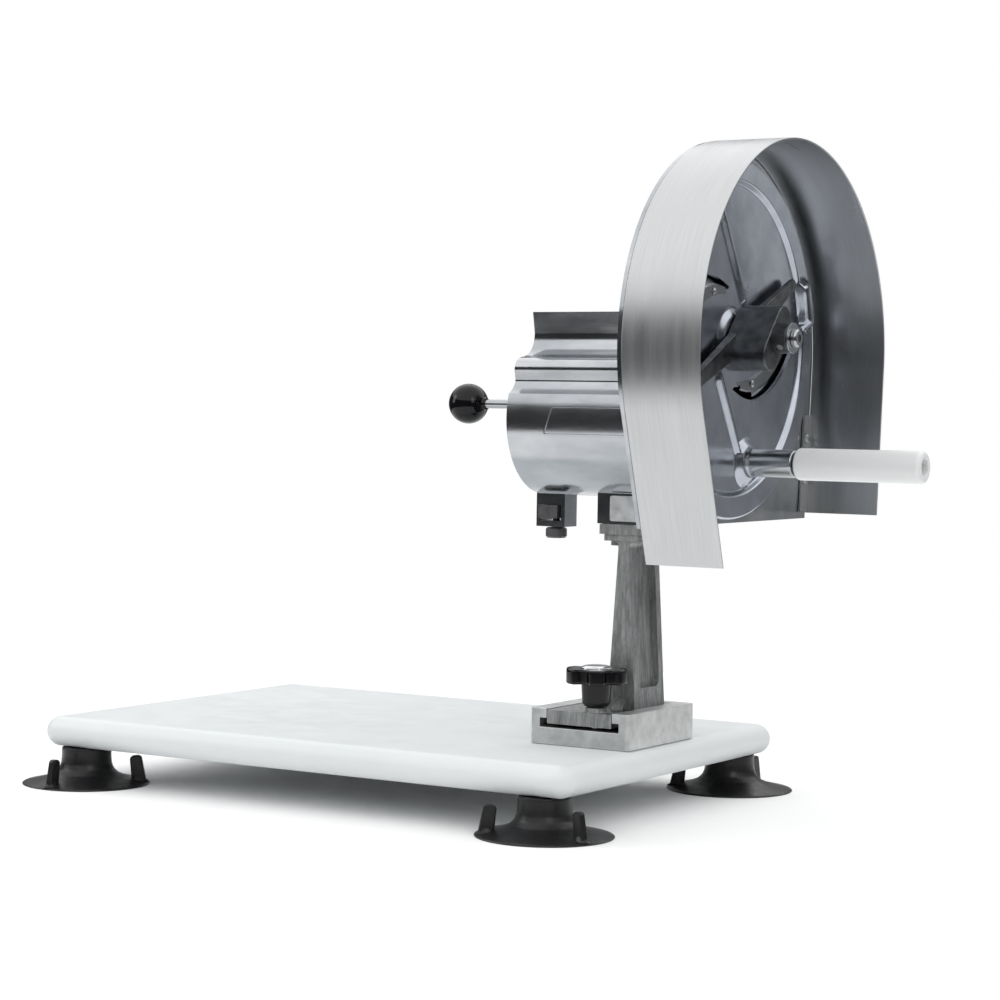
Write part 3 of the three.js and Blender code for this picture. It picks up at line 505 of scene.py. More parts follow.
MATERIAL = {
    "white_board": board_plastic(),
    "rubber_feet": rubber(),
    "steel_screws": steel("plated steel", (0.4, 0.41, 0.42), 0.3),
    "machined_steel": steel(),
    "cast_base": cast_satin(),
    "cast_pedestal": cast_rough(),
    "polished_casting": polished_cast(),
    "polished_rotor": polished_rotor(),
    "pusher_casting": steel("satin casting", (0.58, 0.59, 0.6), 0.4),
    "dark_bridge": dark_bridge(),
    "dark_iron": steel("dark iron", (0.16, 0.16, 0.165), 0.42),
    "blade_steel": steel("ground steel", (0.3, 0.31, 0.33), 0.2),
    "brushed_guard": brushed_sheet(),
    "blank_label": steel("blank label", (0.72, 0.73, 0.74), 0.45),
    "bright_cap": steel("bright cap", (0.7, 0.71, 0.72), 0.16),
    "bronze_bush": bronze(),
    "black_knob": gloss_black(),
    "white_grip": grip_plastic(),
}

for entry in frame["record"]["subparts"]:
    mesh = frame["nodes"][entry["node"]].data
    mesh.materials.clear()
    mesh.materials.append(MATERIAL[entry["material_slot"]])

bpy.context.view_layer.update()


# ------------------------ board and feet
def cutting_board():
    """A slab whose edge is a full half round."""
    build = bmesh.new()
    edge = (BOARD["top"] - BOARD["bottom"]) / 2
    middle = (BOARD["top"] + BOARD["bottom"]) / 2
    rings = []
    steps = 16
    for step in range(steps + 1):
        angle = math.pi * (step / steps - 0.5)
        inset = edge * (1 - math.cos(angle))
        outline = rounded_rectangle(BOARD["length"] - 2 * inset, BOARD["width"] - 2 * inset,
                                    BOARD["corner"] - inset, 10)
        rings.append([build.verts.new((x, y, middle + edge * math.sin(angle))) for x, y in outline])
    join_rings(build, rings)
    build.faces.new(list(reversed(rings[0])))
    build.faces.new(rings[-1])
    bmesh.ops.remove_doubles(build, verts=build.verts, dist=0.001)
    return place(new_object("board", build), "board", ["cutting_board"], "white_board", 32, BOARD_TO_ROW)


def pull_fin(name, turn):
    """An upright fin on a cup's flange, with an oval swelling around its root."""
    outline = [(40, 2.4), (53, 1.4), (48.4, 24), (46, 25.5), (40, 24.8), (38, 22.5)]
    fin = prism(name + "_fin", outline, "y", -CUP["fin_half"], CUP["fin_half"])
    soften(fin, 1.6, 3, 20)
    swelling = [(0, 0), (9, 0), (6.6, 1.6), (4.6, 4.4), (0, 4.4)]
    root = lathe(name + "_root", swelling, "z", (0, 0, 2.2), 24)
    root.data.transform(Matrix.Translation((CUP["fin_root"], 0, 0)) @ Matrix.Scale(0.6, 4, (0, 1, 0)))
    merge(fin, root)
    fin.data.transform(Matrix.Rotation(math.radians(turn), 4, "Z"))
    return fin


def suction_cup(name, x, y, turn):
    """A thin flange on a waisted neck, with two upright fins to pull."""
    top = BOARD["bottom"] - GAP
    radius, neck = CUP["radius"], CUP["neck"]
    hollow = [(0, 3.4), (30, 2.6), (52, 0.2)]
    lip = [(radius - 0.4, 0), (radius, 0.7), (radius - 1, 1.5)]
    flange = [(46, 3.4), (36, 5.8), (28.5, 8.8), (24, 13), (22.2, 18)]
    profile = hollow + lip + flange + [(neck, 24), (neck, top), (0, top)]
    bell = lathe(name, rounded(profile, 2), "z", (0, 0, 0), 96)
    merge(bell, *[pull_fin(name, turn + side * CUP["fin_spread"] / 2) for side in (-1, 1)])
    bell.data.transform(Matrix.Translation((x, y, 0)))
    return place(bell, "board", [name], "rubber_feet", 40, BOARD_TO_ROW)


# ------------------------ base and pedestal
def mounting_base():
    """A cast block with a T-shaped channel, open at the front."""
    x, y = BASE["x"], BASE["y"]
    front, rear = y - BASE["length"] / 2, y + BASE["length"] / 2
    top = DECK + BASE["height"]
    end = rear - CHANNEL["stop_wall"]
    outline = rounded_rectangle(BASE["width"], BASE["length"], BASE["corner"], 5, (x, y))
    body = prism("base", outline, "z", DECK + GAP, top)
    opening = block("opening", x - CHANNEL["opening"], x + CHANNEL["opening"],
                    front - 1, end, CHANNEL["floor"], top + 2)
    slot = block("slot", x - CHANNEL["slot"], x + CHANNEL["slot"],
                 front - 1, end, CHANNEL["floor"], CHANNEL["lip"])
    cut(body, opening, slot)
    soften(body, 1.5, 3)
    return place(body, "board", ["mounting_base"], "cast_base")


def column_outline(base):
    """The column from the front: filleted at its left root, sloping in, and flared at the top."""
    left, right, top = COLUMN["left"], COLUMN["right"], COLUMN["top"]
    top_left, top_right, flare = COLUMN["top_left"], COLUMN["top_right"], COLUMN["flare"]
    outline = [(left - flare, base)]
    outline += curve((left - flare, base), (left, base + 2), (left + 0.8, base + 13))
    outline += [(top_left, top - 6)]
    outline += curve((top_left, top - 6), (top_left, top), (top_left - flare, top + 1))
    outline += [(top_right + flare, top + 1)]
    outline += curve((top_right + flare, top + 1), (top_right, top), (top_right, top - 6))
    return outline + [(right, base)]


def gusset(base):
    """The sloping rib in front of the column's root."""
    front, flare = COLUMN["front"], COLUMN["flare"]
    outline = [(front - flare, base), (front + 1, base), (front + 1, base + COLUMN["gusset_rise"])]
    return prism("gusset", outline, "x", COLUMN["left"] + flare, COLUMN["right"] - flare)


def stud_boss(base):
    """The low round boss that the clamp's stud comes up through."""
    radius, top = CLAMP["boss"], base + CLAMP["boss_rise"]
    profile = [(0, base), (radius + 0.8, base), (radius, base + 2.4), (radius, top), (0, top)]
    return lathe("boss", profile, "z", (CLAMP["x"], CLAMP["y"], 0), 40)


def pedestal():
    """The sliding foot, a column that leans in on both sides, and the stepped saddle."""
    x = BASE["x"]
    front, rear = BASE["y"] - BASE["length"] / 2, FOOT["rear"]
    half_foot, half_flange = CHANNEL["opening"] - CHANNEL["play"], CHANNEL["slot"] - CHANNEL["play"]
    plate = block("pedestal", x - half_foot, x + half_foot, front + 0.2, rear, FOOT["bottom"], FOOT["top"])
    flange = block("flange", x - half_flange, x + half_flange,
                   FOOT["flange_front"], rear, FOOT["bottom"], FOOT["flange_top"])
    base = FOOT["top"] - 1
    post = prism("post", column_outline(base), "y", COLUMN["front"], COLUMN["rear"])
    lower = block("lower", *SADDLE["lower"], SADDLE["front"] + 2, SADDLE["rear"] - 1,
                  SADDLE["bottom"], SADDLE["step"] + 0.1)
    upper = block("upper", *SADDLE["upper"], SADDLE["front"], SADDLE["rear"],
                  SADDLE["step"], SADDLE["top"] - GAP / 2)
    fuse(plate, flange, post, gusset(base), stud_boss(base), lower, upper)
    cut(plate, leaning_recess())
    soften(plate, 1.3, 3)
    return place(plate, "slicer", ["pedestal"], "cast_pedestal")


def leaning_recess():
    """The shallow panel sunk into the column's sloping right face."""
    slope = math.atan2(COLUMN["right"] - COLUMN["top_right"], COLUMN["top"] - FOOT["top"])
    outline = rounded_rectangle(RECESS["width"], RECESS["height"], RECESS["corner"], 6)
    panel = prism("recess", outline, "x", -RECESS["depth"], 12)
    middle = ((COLUMN["right"] + COLUMN["top_right"]) / 2, RECESS["y"], RECESS["z"])
    panel.data.transform(Matrix.Translation(middle) @ Matrix.Rotation(-slope, 4, "Y"))
    return panel


def clamp_knob():
    """A six-lobed rim on a turned hub."""
    x, y = CLAMP["x"], CLAMP["y"]
    steepness, fullness = 3, 0.25
    outline = []
    steps = 180
    for step in range(steps):
        angle = step * TURN / steps
        lobe = 0.5 + 0.5 * math.tanh(steepness * (math.cos(CLAMP["lobes"] * angle) + fullness))
        radius = CLAMP["radius"] - CLAMP["dip"] * (1 - lobe)
        outline.append((x + radius * math.cos(angle), y + radius * math.sin(angle)))
    rim = soften(prism("knob", outline, "z", CLAMP["bottom"], CLAMP["top"]), 2.2, 4)
    low, high = CLAMP["hub"], CLAMP["bottom"] + 1
    profile = [(0, low), (9.5, low), (11.6, low + 3), (12.6, high), (0, high)]
    merge(rim, lathe("hub", rounded(profile, 1.2), "z", (x, y, 0), 64))
    return place(rim, "clamp", ["clamp_knob"], "black_knob", 50)


def clamp_knob_cap():
    """The shallow bright cap in the knob's top."""
    seat, radius = CLAMP["top"] - 1, CLAMP["cap"]
    profile = [(0, seat), (radius, seat), (radius, seat + 1.8), (radius - 3.4, seat + 3.2), (0, seat + 3.7)]
    cap = lathe("cap", rounded(profile, 0.8), "z", (CLAMP["x"], CLAMP["y"], 0), 64)
    return place(cap, "clamp", ["clamp_knob_cap"], "bright_cap")


# ------------------------ housing
def housing_section():
    """The casting from the end: a waisted block with a crease, a shoulder, then the round tube.

    Points are across and up from the tube's axis, and the left side mirrors the right.
    """
    joint = 18.7
    joint_y = TUBE["radius"] * math.cos(math.radians(joint))
    joint_z = TUBE["radius"] * math.sin(math.radians(joint))
    right = [(24, 89), (20.6, 71.5)] + curve((20.6, 71.5), (21.4, 54), (39, 51.2))
    right += curve((39, 51.2), (51.4, 50.4), (52.2, 40)) + [(50.4, 32)]
    right += curve((50.4, 32), (51.6, 25), (joint_y, joint_z))
    bottom = arc(0, 0, TUBE["radius"], joint, joint - 180 - 2 * joint, 72)[1:-1]
    left = [(-y, z) for y, z in reversed(right)]
    return [(TUBE["y"] + y, TUBE["z"] + z) for y, z in right + bottom + left]


def leg_point(side, inset, height):
    """A point on one of the guard's straight legs, so far in from its outer face."""
    lean = math.radians(GUARD["near_lean"] if side < 0 else GUARD["far_lean"])
    rise = height - GUARD["z"]
    return (GUARD["y"] + side * (GUARD["radius"] - inset + rise * math.sin(lean)) / math.cos(lean), height)


def arch_points(inset, near_bottom, far_bottom, steps=96):
    """The guard's path from the near leg's foot, over the top, to the far leg's foot."""
    bend = arc(GUARD["y"], GUARD["z"], GUARD["radius"] - inset,
               180 + GUARD["near_lean"], -GUARD["far_lean"], steps)
    return [leg_point(-1, inset, near_bottom)] + bend + [leg_point(1, inset, far_bottom)]


def slotted_lug():
    """The lug under the tube's rear end, with a window for its bar and a hole for the thumb screw."""
    y, (low, high) = TUBE["y"], LUG["window"]
    middle = (LUG["rear"] + LUG["front"]) / 2
    lug = block("lug", LUG["rear"], LUG["front"], y - LUG["half"], y + LUG["half"], LUG["bottom"], LUG["top"])
    width = LUG["front"] - LUG["rear"] - 2 * LUG["wall"]
    outline = rounded_rectangle(width, high - low, 1.5, 4, (middle, (low + high) / 2))
    window = prism("window", outline, "y", y - 30, y + 30)
    thread = cylinder("thread", LUG["thread"], LUG["bottom"] - 3, low + 2, "z", (middle, y, 0), 24)
    return lug, window, thread


def housing():
    """One casting: the block and tube, the back plate, a pad for the saddle, a web and the lug."""
    y = TUBE["y"]
    start, end = TUBE["rear"] - 10, BACK_PLATE["front"] + 3
    bore = cylinder("bore", TUBE["bore"], start, end, "x", (0, y, TUBE["z"]), 128)
    tunnel = cylinder("tunnel", TUNNEL, start, end, "x", (0, *AXLE), 48)
    body = prism("housing", housing_section(), "x", TUBE["rear"], TUBE["front"])
    path = arch_points(BACK_PLATE["inset"], BACK_PLATE["bottom"], BACK_PLATE["bottom"])
    plate = prism("plate", path, "x", BACK_PLATE["rear"], BACK_PLATE["front"])
    pad = block("pad", *SADDLE["pad"], SADDLE["front"], SADDLE["rear"],
                SADDLE["top"] + GAP / 2, TUBE["z"] - 40)
    web = block("web", SADDLE["pad"][1] - 1, BACK_PLATE["rear"] + 1,
                y - WEB["half"], y + WEB["half"], WEB["bottom"], WEB["top"])
    lug, window, thread = slotted_lug()
    fuse(body, plate, pad, web, lug)
    cut(body, bore, tunnel, window, thread)
    soften(body, 0.8, 3, 40)
    merge(body, nameplate_border())
    return place(body, "slicer", ["housing"], "polished_casting")


def nameplate_border():
    """A raised empty frame on the near side of the tube, wrapped on its curve."""
    corners = BORDER["corners"]
    middle_x, middle_z = BORDER["middle"]
    profile = ((-1.1, -0.3), (-0.6, 1.1), (0.6, 1.1), (1.1, -0.3))  # inwards, and above the tube
    steps = 10
    path = []
    for (x0, z0), (x1, z1) in zip(corners, corners[1:] + corners[:1]):
        path += [(x0 + (x1 - x0) * i / steps, z0 + (z1 - z0) * i / steps) for i in range(steps)]
    build = bmesh.new()
    rings = []
    for x, z in path:
        ring = []
        for inward, lift in profile:
            centre = Vector((x + (middle_x - x) / BORDER["half_length"] * inward, TUBE["y"], TUBE["z"]))
            height = z + (middle_z - z) / BORDER["half_height"] * inward - TUBE["z"]
            depth = math.sqrt(TUBE["radius"] ** 2 - height ** 2)
            normal = Vector((0, -depth, height)).normalized()
            ring.append(build.verts.new(centre + normal * (TUBE["radius"] + lift)))
        rings.append(ring)
    for ring, following in zip(rings, rings[1:] + rings[:1]):
        for i in range(len(profile) - 1):
            build.faces.new((ring[i], ring[i + 1], following[i + 1], following[i]))
    return new_object("border", build)


def label_plate():
    """The plain plate on the pad under the tube."""
    face = SADDLE["front"] - GAP
    outline = rounded_rectangle(LABEL["width"], LABEL["height"], LABEL["corner"], 4, (LABEL["x"], LABEL["z"]))
    plate = prism("label", outline, "y", face - LABEL["thick"], face)
    return place(soften(plate, 0.25, 2), "slicer", ["label_plate"], "blank_label")


# ------------------------ guard
def guard_ring(build, outer, inner, stations):
    """One section across the sheet: forwards on its outer face and back on its inner one."""
    ring = []
    for (y, z), (other_y, other_z), row in ((outer, inner, stations), (inner, outer, stations[::-1])):
        for station in row:
            pull = GUARD["edge_pull"] if station in (stations[0], stations[-1]) else 0
            corner = (GUARD["rear"] + station, y + (other_y - y) * pull, z + (other_z - z) * pull)
            ring.append(build.verts.new(corner))
    return ring


def guard_flange(build, layer, side):
    """The strip turned inwards behind one leg, where the guard is screwed on."""
    bottom, top, width = GUARD["flange_bottom"], GUARD["flange_top"], GUARD["flange_width"]
    corners = [leg_point(side, 1, bottom), leg_point(side, width, bottom),
               leg_point(side, width, top), leg_point(side, 1, top)]
    low = [build.verts.new((GUARD["rear"], y, z)) for y, z in corners]
    high = [build.verts.new((GUARD["rear"] + GUARD["sheet"], y, z)) for y, z in corners]
    faces = [build.faces.new(low), build.faces.new(high)]
    for i in range(len(corners)):
        j = (i + 1) % len(corners)
        faces.append(build.faces.new((low[i], low[j], high[j], high[i])))
    for face in faces:
        for loop in face.loops:
            loop[layer].uv = (loop.vert.co.z / 1000, loop.vert.co.y / 1000)


def guard():
    """The bent sheet, with coordinates that unroll it so the brushing runs along its length."""
    build = bmesh.new()
    layer = build.loops.layers.uv.new("sheet")
    columns, steps, apart = 24, 128, 0.1
    outer = arch_points(0, GUARD["near_bottom"], GUARD["far_bottom"], steps)
    inner = arch_points(GUARD["sheet"], GUARD["near_bottom"], GUARD["far_bottom"], steps)
    span, edge = GUARD["front"] - GUARD["rear"], GUARD["edge"]
    stations = [0, edge] + [span * i / columns for i in range(1, columns)] + [span - edge, span]
    lengths = [0.0]
    for a, b in zip(outer, outer[1:]):
        lengths.append(lengths[-1] + math.dist(a, b) / 1000)
    sections = [guard_ring(build, *pair, stations) for pair in zip(outer, inner)]
    across = [s / 1000 for s in stations] + [s / 1000 + apart for s in reversed(stations)]
    for row, (first, second) in enumerate(zip(sections, sections[1:])):
        low, high = lengths[row], lengths[row + 1]
        for i in range(len(across)):
            j = (i + 1) % len(across)
            face = build.faces.new((first[i], first[j], second[j], second[i]))
            unrolled = ((low, across[i]), (low, across[j]), (high, across[j]), (high, across[i]))
            for loop, place_on_sheet in zip(face.loops, unrolled):
                loop[layer].uv = place_on_sheet
    for ring in (sections[0], sections[-1]):
        face = build.faces.new(ring)
        for loop in face.loops:
            loop[layer].uv = (0, loop.vert.co.x / 1000)
    for side in (-1, 1):
        guard_flange(build, layer, side)
    return place(new_object("guard_sheet", build), "slicer", ["guard"], "brushed_guard", 40)


# ------------------------ rotor
def slot_point(part, inset, turn):
    """A point so far in from the slot's outer edge; offsets open out from nothing at the inner tip."""
    angle = math.radians(SLOT["start"] + part * (SLOT["end"] - SLOT["start"]) + turn)
    radius = SLOT["radius"] + SLOT["growth"] * part ** SLOT["power"] - inset * part ** SLOT["opening"]
    return (AXLE[0] + radius * math.cos(angle), AXLE[1] + radius * math.sin(angle))


def slot_cutter(turn):
    """What is cut away in front of a blade's edge."""
    steps, first = 44, 0.005
    parts = [first + (1 - first) * i / steps for i in range(steps + 1)]
    points = [slot_point(part, 0, turn) for part in parts]
    points += [slot_point(part, SLOT["width"], turn) for part in reversed(parts)]
    return prism("slot", points, "x", ROTOR["rear"] - 10, ROTOR["field"] + 20)


def smooth_step(value, low, high):
    """Rises from 0 to 1 between two values, level at both."""
    t = max(0.0, min(1.0, (value - low) / (high - low)))
    return t * t * (3 - 2 * t)


def segment_distance(y, z, start, end):
    """Distance from a point to a line segment, and how far along it the nearest point is."""
    line = Vector(end) - Vector(start)
    offset = Vector((y, z)) - Vector(start)
    part = max(0.0, min(1.0, offset.dot(line) / line.length_squared))
    return (offset - line * part).length, part


def rotor_height(y, z):
    """How far the front face stands above the field, at a point measured from the axle."""
    radius = math.hypot(y, z)
    rim_inner, full = ROTOR["rim_inner"], ROTOR["rim"]
    rim = full * smooth_step(radius, rim_inner - 3.4, rim_inner + 0.4)
    hub = full * (1 - smooth_step(radius, ROTOR["hub_top"], ROTOR["hub_foot"]))
    height = max(rim, hub)
    for sign in (1, -1):
        distance, part = segment_distance(sign * y, sign * z, RIB["start"], RIB["end"])
        half = RIB["root_half"] + (RIB["tip_half"] - RIB["root_half"]) * part
        height = max(height, RIB["rise"] * (1 - smooth_step(distance, 0.2, half)))
        distance, part = segment_distance(sign * y, sign * z, RIM_LOBE["start"], RIM_LOBE["end"])
        if distance < RIM_LOBE["half"]:
            crown = math.sqrt(1 - (distance / RIM_LOBE["half"]) ** 2)
            height = max(height, rim + RIM_LOBE["rise"] * crown)
    pad = math.hypot(y - (HANDLE["y"] - AXLE[0]), z - (HANDLE["z"] - AXLE[1]))
    return max(height, CRANK_PAD["rise"] * (1 - smooth_step(pad, CRANK_PAD["top"], CRANK_PAD["foot"])))


def rotor_plate():
    """The cast plate: its front follows rotor_height, its rear is flat, and the blades' slots go through."""
    build = bmesh.new()
    around, across, bore, round_edge = 360, 110, ROTOR["bore"], ROTOR["edge"]
    flat = ROTOR["radius"] - round_edge
    radii = [bore + (flat - bore) * i / across for i in range(across + 1)]
    radii += [flat + round_edge * part for part in (0.25, 0.5, 0.75, 0.92, 1)]
    centre = Vector((0, *AXLE))
    turns = [i * TURN / around for i in range(around)]
    rings = []
    for radius in radii:
        past = max(0.0, radius - flat)
        drop = round_edge - math.sqrt(max(0.0, round_edge ** 2 - past ** 2))
        ring = []
        for turn in turns:
            y, z = radius * math.cos(turn), radius * math.sin(turn)
            ring.append(build.verts.new(centre + Vector((ROTOR["field"] + rotor_height(y, z) - drop, y, z))))
        rings.append(ring)
    rear, rim, chamfer = ROTOR["rear"], ROTOR["radius"], 0.8
    for radius, x in ((rim, rear + chamfer), (rim - chamfer, rear), (bore, rear)):
        rings.append([build.verts.new(centre + Vector((x, radius * math.cos(turn), radius * math.sin(turn))))
                      for turn in turns])
    join_rings(build, rings + rings[:1])
    plate = new_object("rotor", build)
    cut(plate, slot_cutter(0), slot_cutter(180))
    return place(plate, "rotor", ["rotor_plate"], "polished_rotor", 50)


def blade(name, turn):
    """A sickle blade: flat back, ground bevel towards its outer cutting edge."""
    steps = 60
    rear = ROTOR["field"] + GAP
    front = rear + BLADE["thick"]
    edge, back = BLADE["edge"], BLADE["back"]
    section = ((edge, rear + BLADE["land"]), (edge + BLADE["bevel"], front),
               (back, front), (back, rear), (edge, rear))
    build = bmesh.new()
    rings = []
    for step in range(steps + 1):
        part = BLADE["first"] + (BLADE["last"] - BLADE["first"]) * step / steps
        rings.append([build.verts.new((x, *slot_point(part, inset, turn))) for inset, x in section])
    join_rings(build, rings)
    build.faces.new(rings[0])
    build.faces.new(rings[-1])
    return place(new_object(name + "_ground", build), "rotor", [name], "blade_steel", 20)


def knife_bridge():
    """The long block over the hub, leaning with the blades, its round boss, and an arm each way; the arms get
    the bridge's dark metal as a painted dark reflection.
    """
    reach, half, radius = BRIDGE["reach"], BRIDGE["half_width"], BRIDGE["boss"]
    front, screw_x = BRIDGE["boss_front"], BRIDGE["screw_x"]
    outline = arc(reach, 0, half, -90, 90, 24) + arc(-reach, 0, half, 90, 270, 24)
    body = prism("bridge", outline, "x", BRIDGE["rear"], BRIDGE["front"])
    soften(body, 1.6, 3, 60)
    low = BRIDGE["front"] - 2
    profile = [(0, low), (radius, low), (radius, front), (0, front)]
    boss = lathe("boss", rounded(profile, 0.8), "x", (0, 0, 0), 64)
    screw_hole = cylinder("hole", BRIDGE["screw"], radius - BRIDGE["screw_depth"], radius + 1,
                          "z", (screw_x, 0, 0), 24)
    cut(boss, rotate_about_x(screw_hole, BRIDGE["screw_turn"] - BRIDGE["lean"], (screw_x, 0, 0)))
    merge(body, boss)
    rotate_about_x(body, BRIDGE["lean"], (0, 0, 0))
    # The arms share the dark bridge metal: a painted dark reflection where polished arms would mirror the
    # dark room.
    merge(body, bridge_arm(0), bridge_arm(180))
    body.data.transform(Matrix.Translation((0, *AXLE)))
    return place(body, "rotor", ["knife_bridge"], "dark_bridge", 50)


def bridge_arm(turn):
    """A tapering bar that runs out from the bridge over the blade's back to the rim."""
    rear, front = BRIDGE_ARM["rear"], BRIDGE_ARM["front"]
    near, far = BRIDGE_ARM["start"], BRIDGE_ARM["end"]
    wide, narrow = BRIDGE_ARM["root_half"], BRIDGE_ARM["tip_half"]
    tip = arc(far, 0, narrow, -90, 90, 8)
    arm = prism("arm", [(near, -wide)] + tip + [(near, wide)], "x", rear, front)
    for vertex in arm.data.vertices:
        if vertex.co.x > rear + 1 and vertex.co.y < near + 1:
            vertex.co.x += BRIDGE_ARM["rise"]
    soften(arm, 1.2, 3, 30)
    return rotate_about_x(arm, BRIDGE_ARM["angle"] + turn, (0, 0, 0))


def hub_bolt():
    """A low round head with a hexagonal socket, on a shank into the shaft."""
    shank, head, height = HUB_BOLT["shank"], HUB_BOLT["head"], HUB_BOLT["head_height"]
    seat = BRIDGE["boss_front"] + GAP + HUB_BOLT["washer"] + GAP
    start = seat - HUB_BOLT["length"]
    profile = [(0, start), (shank, start), (shank, seat), (head, seat), (head, seat + 3),
               (head - 1.5, seat + height), (0, seat + height)]
    bolt = lathe("hub_bolt_round", rounded(profile, 0.6), "x", (0, *AXLE), 48)
    outline = [(AXLE[0] + y, AXLE[1] + z) for y, z in hexagon(HUB_BOLT["socket"])]
    cut(bolt, prism("socket", outline, "x", seat + 1, seat + 6))
    return place(bolt, "rotor", ["hub_bolt"], "machined_steel")


def hub_washer():
    """The thick washer between the bridge's boss and the bolt's head."""
    rear, radius = BRIDGE["boss_front"] + GAP, BRIDGE["boss"]
    front = rear + HUB_BOLT["washer"]
    profile = [(0, rear), (radius, rear), (radius, front), (0, front)]
    washer = lathe("washer", rounded(profile, 0.5), "x", (0, *AXLE), 64)
    return place(washer, "rotor", ["hub_washer"], "machined_steel")


# ------------------------ handle
def handle_spindle():
    """A stout boss on the plate with the pin that the grip turns on."""
    boss, pin, start = HANDLE["boss"], HANDLE["pin"], HANDLE["start"]
    foot, pin_end = ROTOR["field"] + 5, HANDLE["end"] - HANDLE["pin_inside"]
    flare = [(0, foot - 3), (boss + 0.8, foot - 3), (boss + 0.8, foot + 1.5), (boss, foot + 4)]
    shoulder = [(boss, start - 3), (boss - 1, start - 2), (pin, start - 2)]
    profile = flare + shoulder + [(pin, pin_end), (0, pin_end)]
    spindle = lathe("spindle", rounded(profile, 0.8), "x", (0, HANDLE["y"], HANDLE["z"]), 64)
    return place(spindle, "rotor", ["handle_spindle"], "machined_steel")


def handle_grip():
    """A white sleeve, with a counterbore for its screw at the outer end."""
    start, end, grip, bore = HANDLE["start"], HANDLE["end"], HANDLE["grip"], HANDLE["pin"] + GAP
    inner_end = [(bore, start), (grip - 1.5, start), (grip, start + 1.6)]
    outer_end = [(grip, end - 3), (grip - 0.8, end - 1), (grip - 3, end)]
    wide, deep = HANDLE["counterbore"]
    counterbore = [(wide, end), (wide, end - deep), (bore, end - deep)]
    profile = inner_end + outer_end + counterbore + [(bore, start)]
    body = lathe("grip", rounded(profile, 0.9, 4), "x", (0, HANDLE["y"], HANDLE["z"]), 96)
    return place(body, "grip", ["handle_grip"], "white_grip", 50)


# ------------------------ pusher
def pusher_knob():
    """A ball with a short neck towards the rod."""
    middle, ball, neck = PUSHER["ball_x"], PUSHER["ball"], PUSHER["neck"]
    profile = [(0, middle - ball)]
    for degrees in range(5, 161, 5):
        angle = math.radians(degrees)
        profile.append((ball * math.sin(angle), middle - ball * math.cos(angle)))
    end = middle + ball
    profile += [(neck + 0.4, end), (neck, end + 1.2), (0, end + 1.2)]
    knob = lathe("ball_knob", profile, "x", (0, TUBE["y"], PUSHER["z"]), 72)
    return place(knob, "pusher", ["pusher_knob"], "black_knob", 40)


def pusher_rod():
    """The rod from the middle of the ball through the plate to its nut."""
    centre = (0, TUBE["y"], PUSHER["z"])
    rod = cylinder("rod", PUSHER["rod"], PUSHER["ball_x"], PUSHER["front"] - 1.5, "x", centre, 48)
    return place(rod, "pusher", ["pusher_rod"], "machined_steel")


def pusher_plate():
    """A thick disc, hollowed behind, with a seat in its front for the rod's nut."""
    front, rear, radius = PUSHER["front"], PUSHER["rear"], PUSHER["radius"]
    inner, hollow = radius - PUSHER["wall"], rear + PUSHER["hollow"]
    profile = [(0, hollow), (inner, hollow), (inner, rear), (radius, rear), (radius, front), (0, front)]
    plate = lathe("plate", rounded(profile, 1.2), "x", (0, TUBE["y"], TUBE["z"]), 96)
    cut(plate, cylinder("seat", PUSHER["seat"], front - 6, front + 3, "x", (0, TUBE["y"], PUSHER["z"]), 32))
    return place(plate, "pusher", ["pusher_plate"], "pusher_casting")


cutting_board()
for cup_name, (cup_x, cup_y, cup_turn) in CUPS.items():
    suction_cup("suction_cup_" + cup_name, cup_x, cup_y, cup_turn)
mounting_base()
pedestal()
clamp_knob()
clamp_knob_cap()
housing()
label_plate()
guard()
rotor_plate()
blade("blade_1", 0)
blade("blade_2", 180)
knife_bridge()
hub_bolt()
hub_washer()
handle_spindle()
handle_grip()
pusher_knob()
pusher_rod()
pusher_plate()


# ------------------------ studio
def floor():
    """The pale round floor under the slicer."""
    build = bmesh.new()
    bmesh.ops.create_circle(build, cap_ends=True, segments=96, radius=1.1)
    ground = new_object("floor", build)
    surface = Surface("pale floor", (0.97, 0.97, 0.97), 0, 0.8)
    surface.vary_roughness(surface.noise(3, 3), 0.74, 0.86)
    ground.data.materials.append(surface.material)


def softbox(name, position, target, width, height, power):
    """A rectangular lamp aimed at a point."""
    data = bpy.data.lights.new(name, "AREA")
    data.shape = "RECTANGLE"
    data.size = width
    data.size_y = height
    data.energy = power
    lamp = bpy.data.objects.new(name, data)
    lamp.location = position
    lamp.rotation_euler = (Vector(target) - Vector(position)).to_track_quat("-Z", "Y").to_euler()
    bpy.context.scene.collection.objects.link(lamp)


def overhead_light(strength, spread, tilt):
    """An even ceiling of light, as wide as its angle, tipped by a few degrees."""
    data = bpy.data.lights.new("overhead", "SUN")
    data.energy = strength
    data.angle = math.radians(spread)
    lamp = bpy.data.objects.new("overhead", data)
    lamp.rotation_euler = (math.radians(tilt), 0, 0)
    bpy.context.scene.collection.objects.link(lamp)


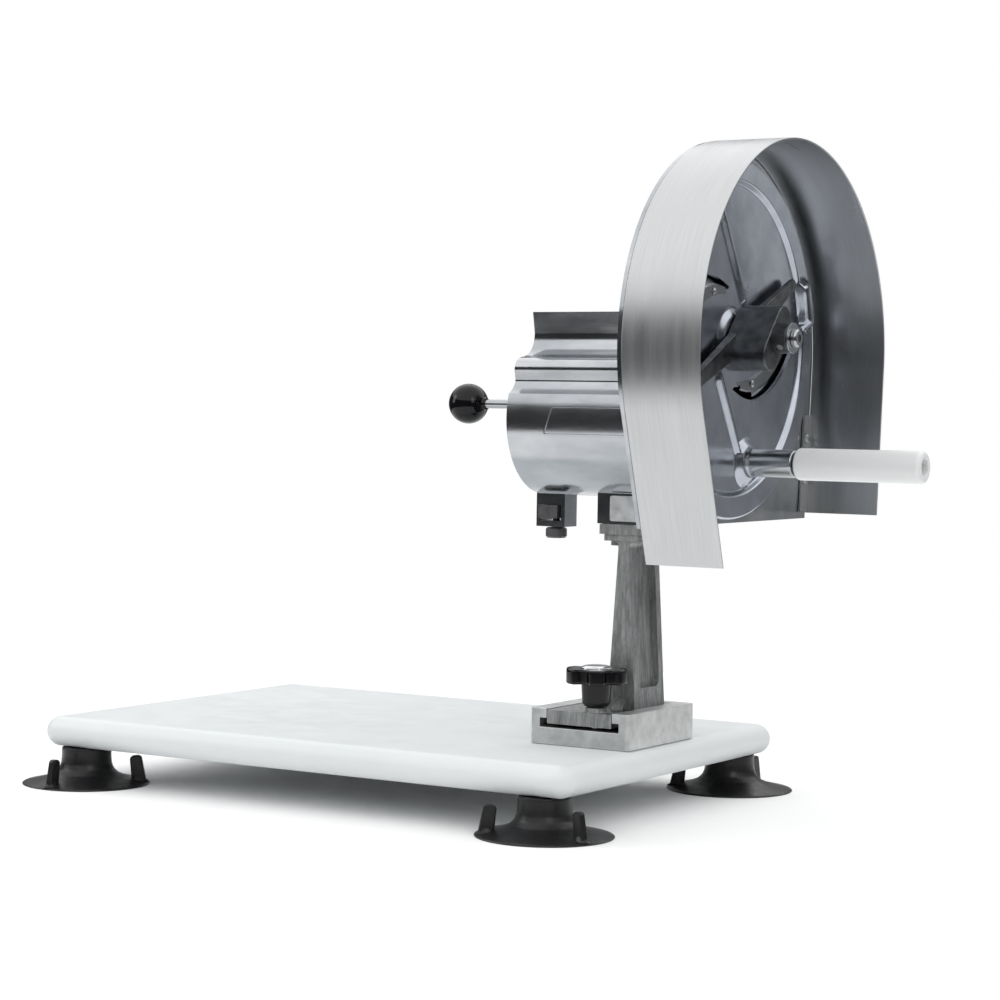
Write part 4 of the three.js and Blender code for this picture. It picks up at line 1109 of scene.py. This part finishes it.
def studio_world():
    """A white backdrop for the picture, seen in the metal as a pale wall behind and a dark room in front."""
    world = bpy.data.worlds.new("studio")
    bpy.context.scene.world = world
    world.use_nodes = True
    nodes, links = world.node_tree.nodes, world.node_tree.links
    room = nodes["Background"]
    room.inputs["Color"].default_value = (0.96, 0.98, 1, 1)
    direction = nodes.new("ShaderNodeTexCoord")
    split = nodes.new("ShaderNodeSeparateXYZ")
    links.new(direction.outputs["Generated"], split.inputs["Vector"])
    wall = nodes.new("ShaderNodeMapRange")
    for name, value in (("From Min", 0.1), ("From Max", 0.8), ("To Min", 0.05), ("To Max", 0.3)):
        wall.inputs[name].default_value = value
    links.new(split.outputs["Y"], wall.inputs["Value"])
    links.new(wall.outputs["Result"], room.inputs["Strength"])
    plain = nodes.new("ShaderNodeBackground")
    plain.inputs["Color"].default_value = (1, 1, 1, 1)
    path = nodes.new("ShaderNodeLightPath")
    mix = nodes.new("ShaderNodeMixShader")
    links.new(path.outputs["Is Camera Ray"], mix.inputs["Fac"])
    links.new(room.outputs["Background"], mix.inputs[1])
    links.new(plain.outputs["Background"], mix.inputs[2])
    links.new(mix.outputs["Shader"], nodes["World Output"].inputs["Surface"])


def camera():
    """Looks at the slicer from its front right, just above the board, tipped a little."""
    azimuth, elevation = math.radians(CAMERA["azimuth"]), math.radians(CAMERA["elevation"])
    target = BOARD_TO_ROW @ Vector(CAMERA["target"])
    direction = Vector((math.sin(azimuth) * math.cos(elevation), -math.cos(azimuth) * math.cos(elevation),
                        math.sin(elevation)))
    data = bpy.data.cameras.new("camera")
    data.sensor_width = 36
    data.lens = CAMERA["lens"]
    eye = bpy.data.objects.new("camera", data)
    eye.location = target + direction * CAMERA["distance"]
    facing = (-direction).to_track_quat("-Z", "Y").to_matrix()
    eye.rotation_euler = (facing @ Matrix.Rotation(math.radians(CAMERA["roll"]), 3, "Z")).to_euler()
    bpy.context.scene.collection.objects.link(eye)
    bpy.context.scene.camera = eye


floor()
overhead_light(3.35, 136, 4)
softbox("left", (-2.2, -1.2, 1.2), (0.1, 0, 0.3), 0.9, 1.5, 9)
softbox("right", (1.9, -1.6, 1.3), (0.2, 0, 0.3), 0.6, 1.3, 5)
studio_world()
camera()
bpy.context.scene.view_settings.view_transform = "Standard"
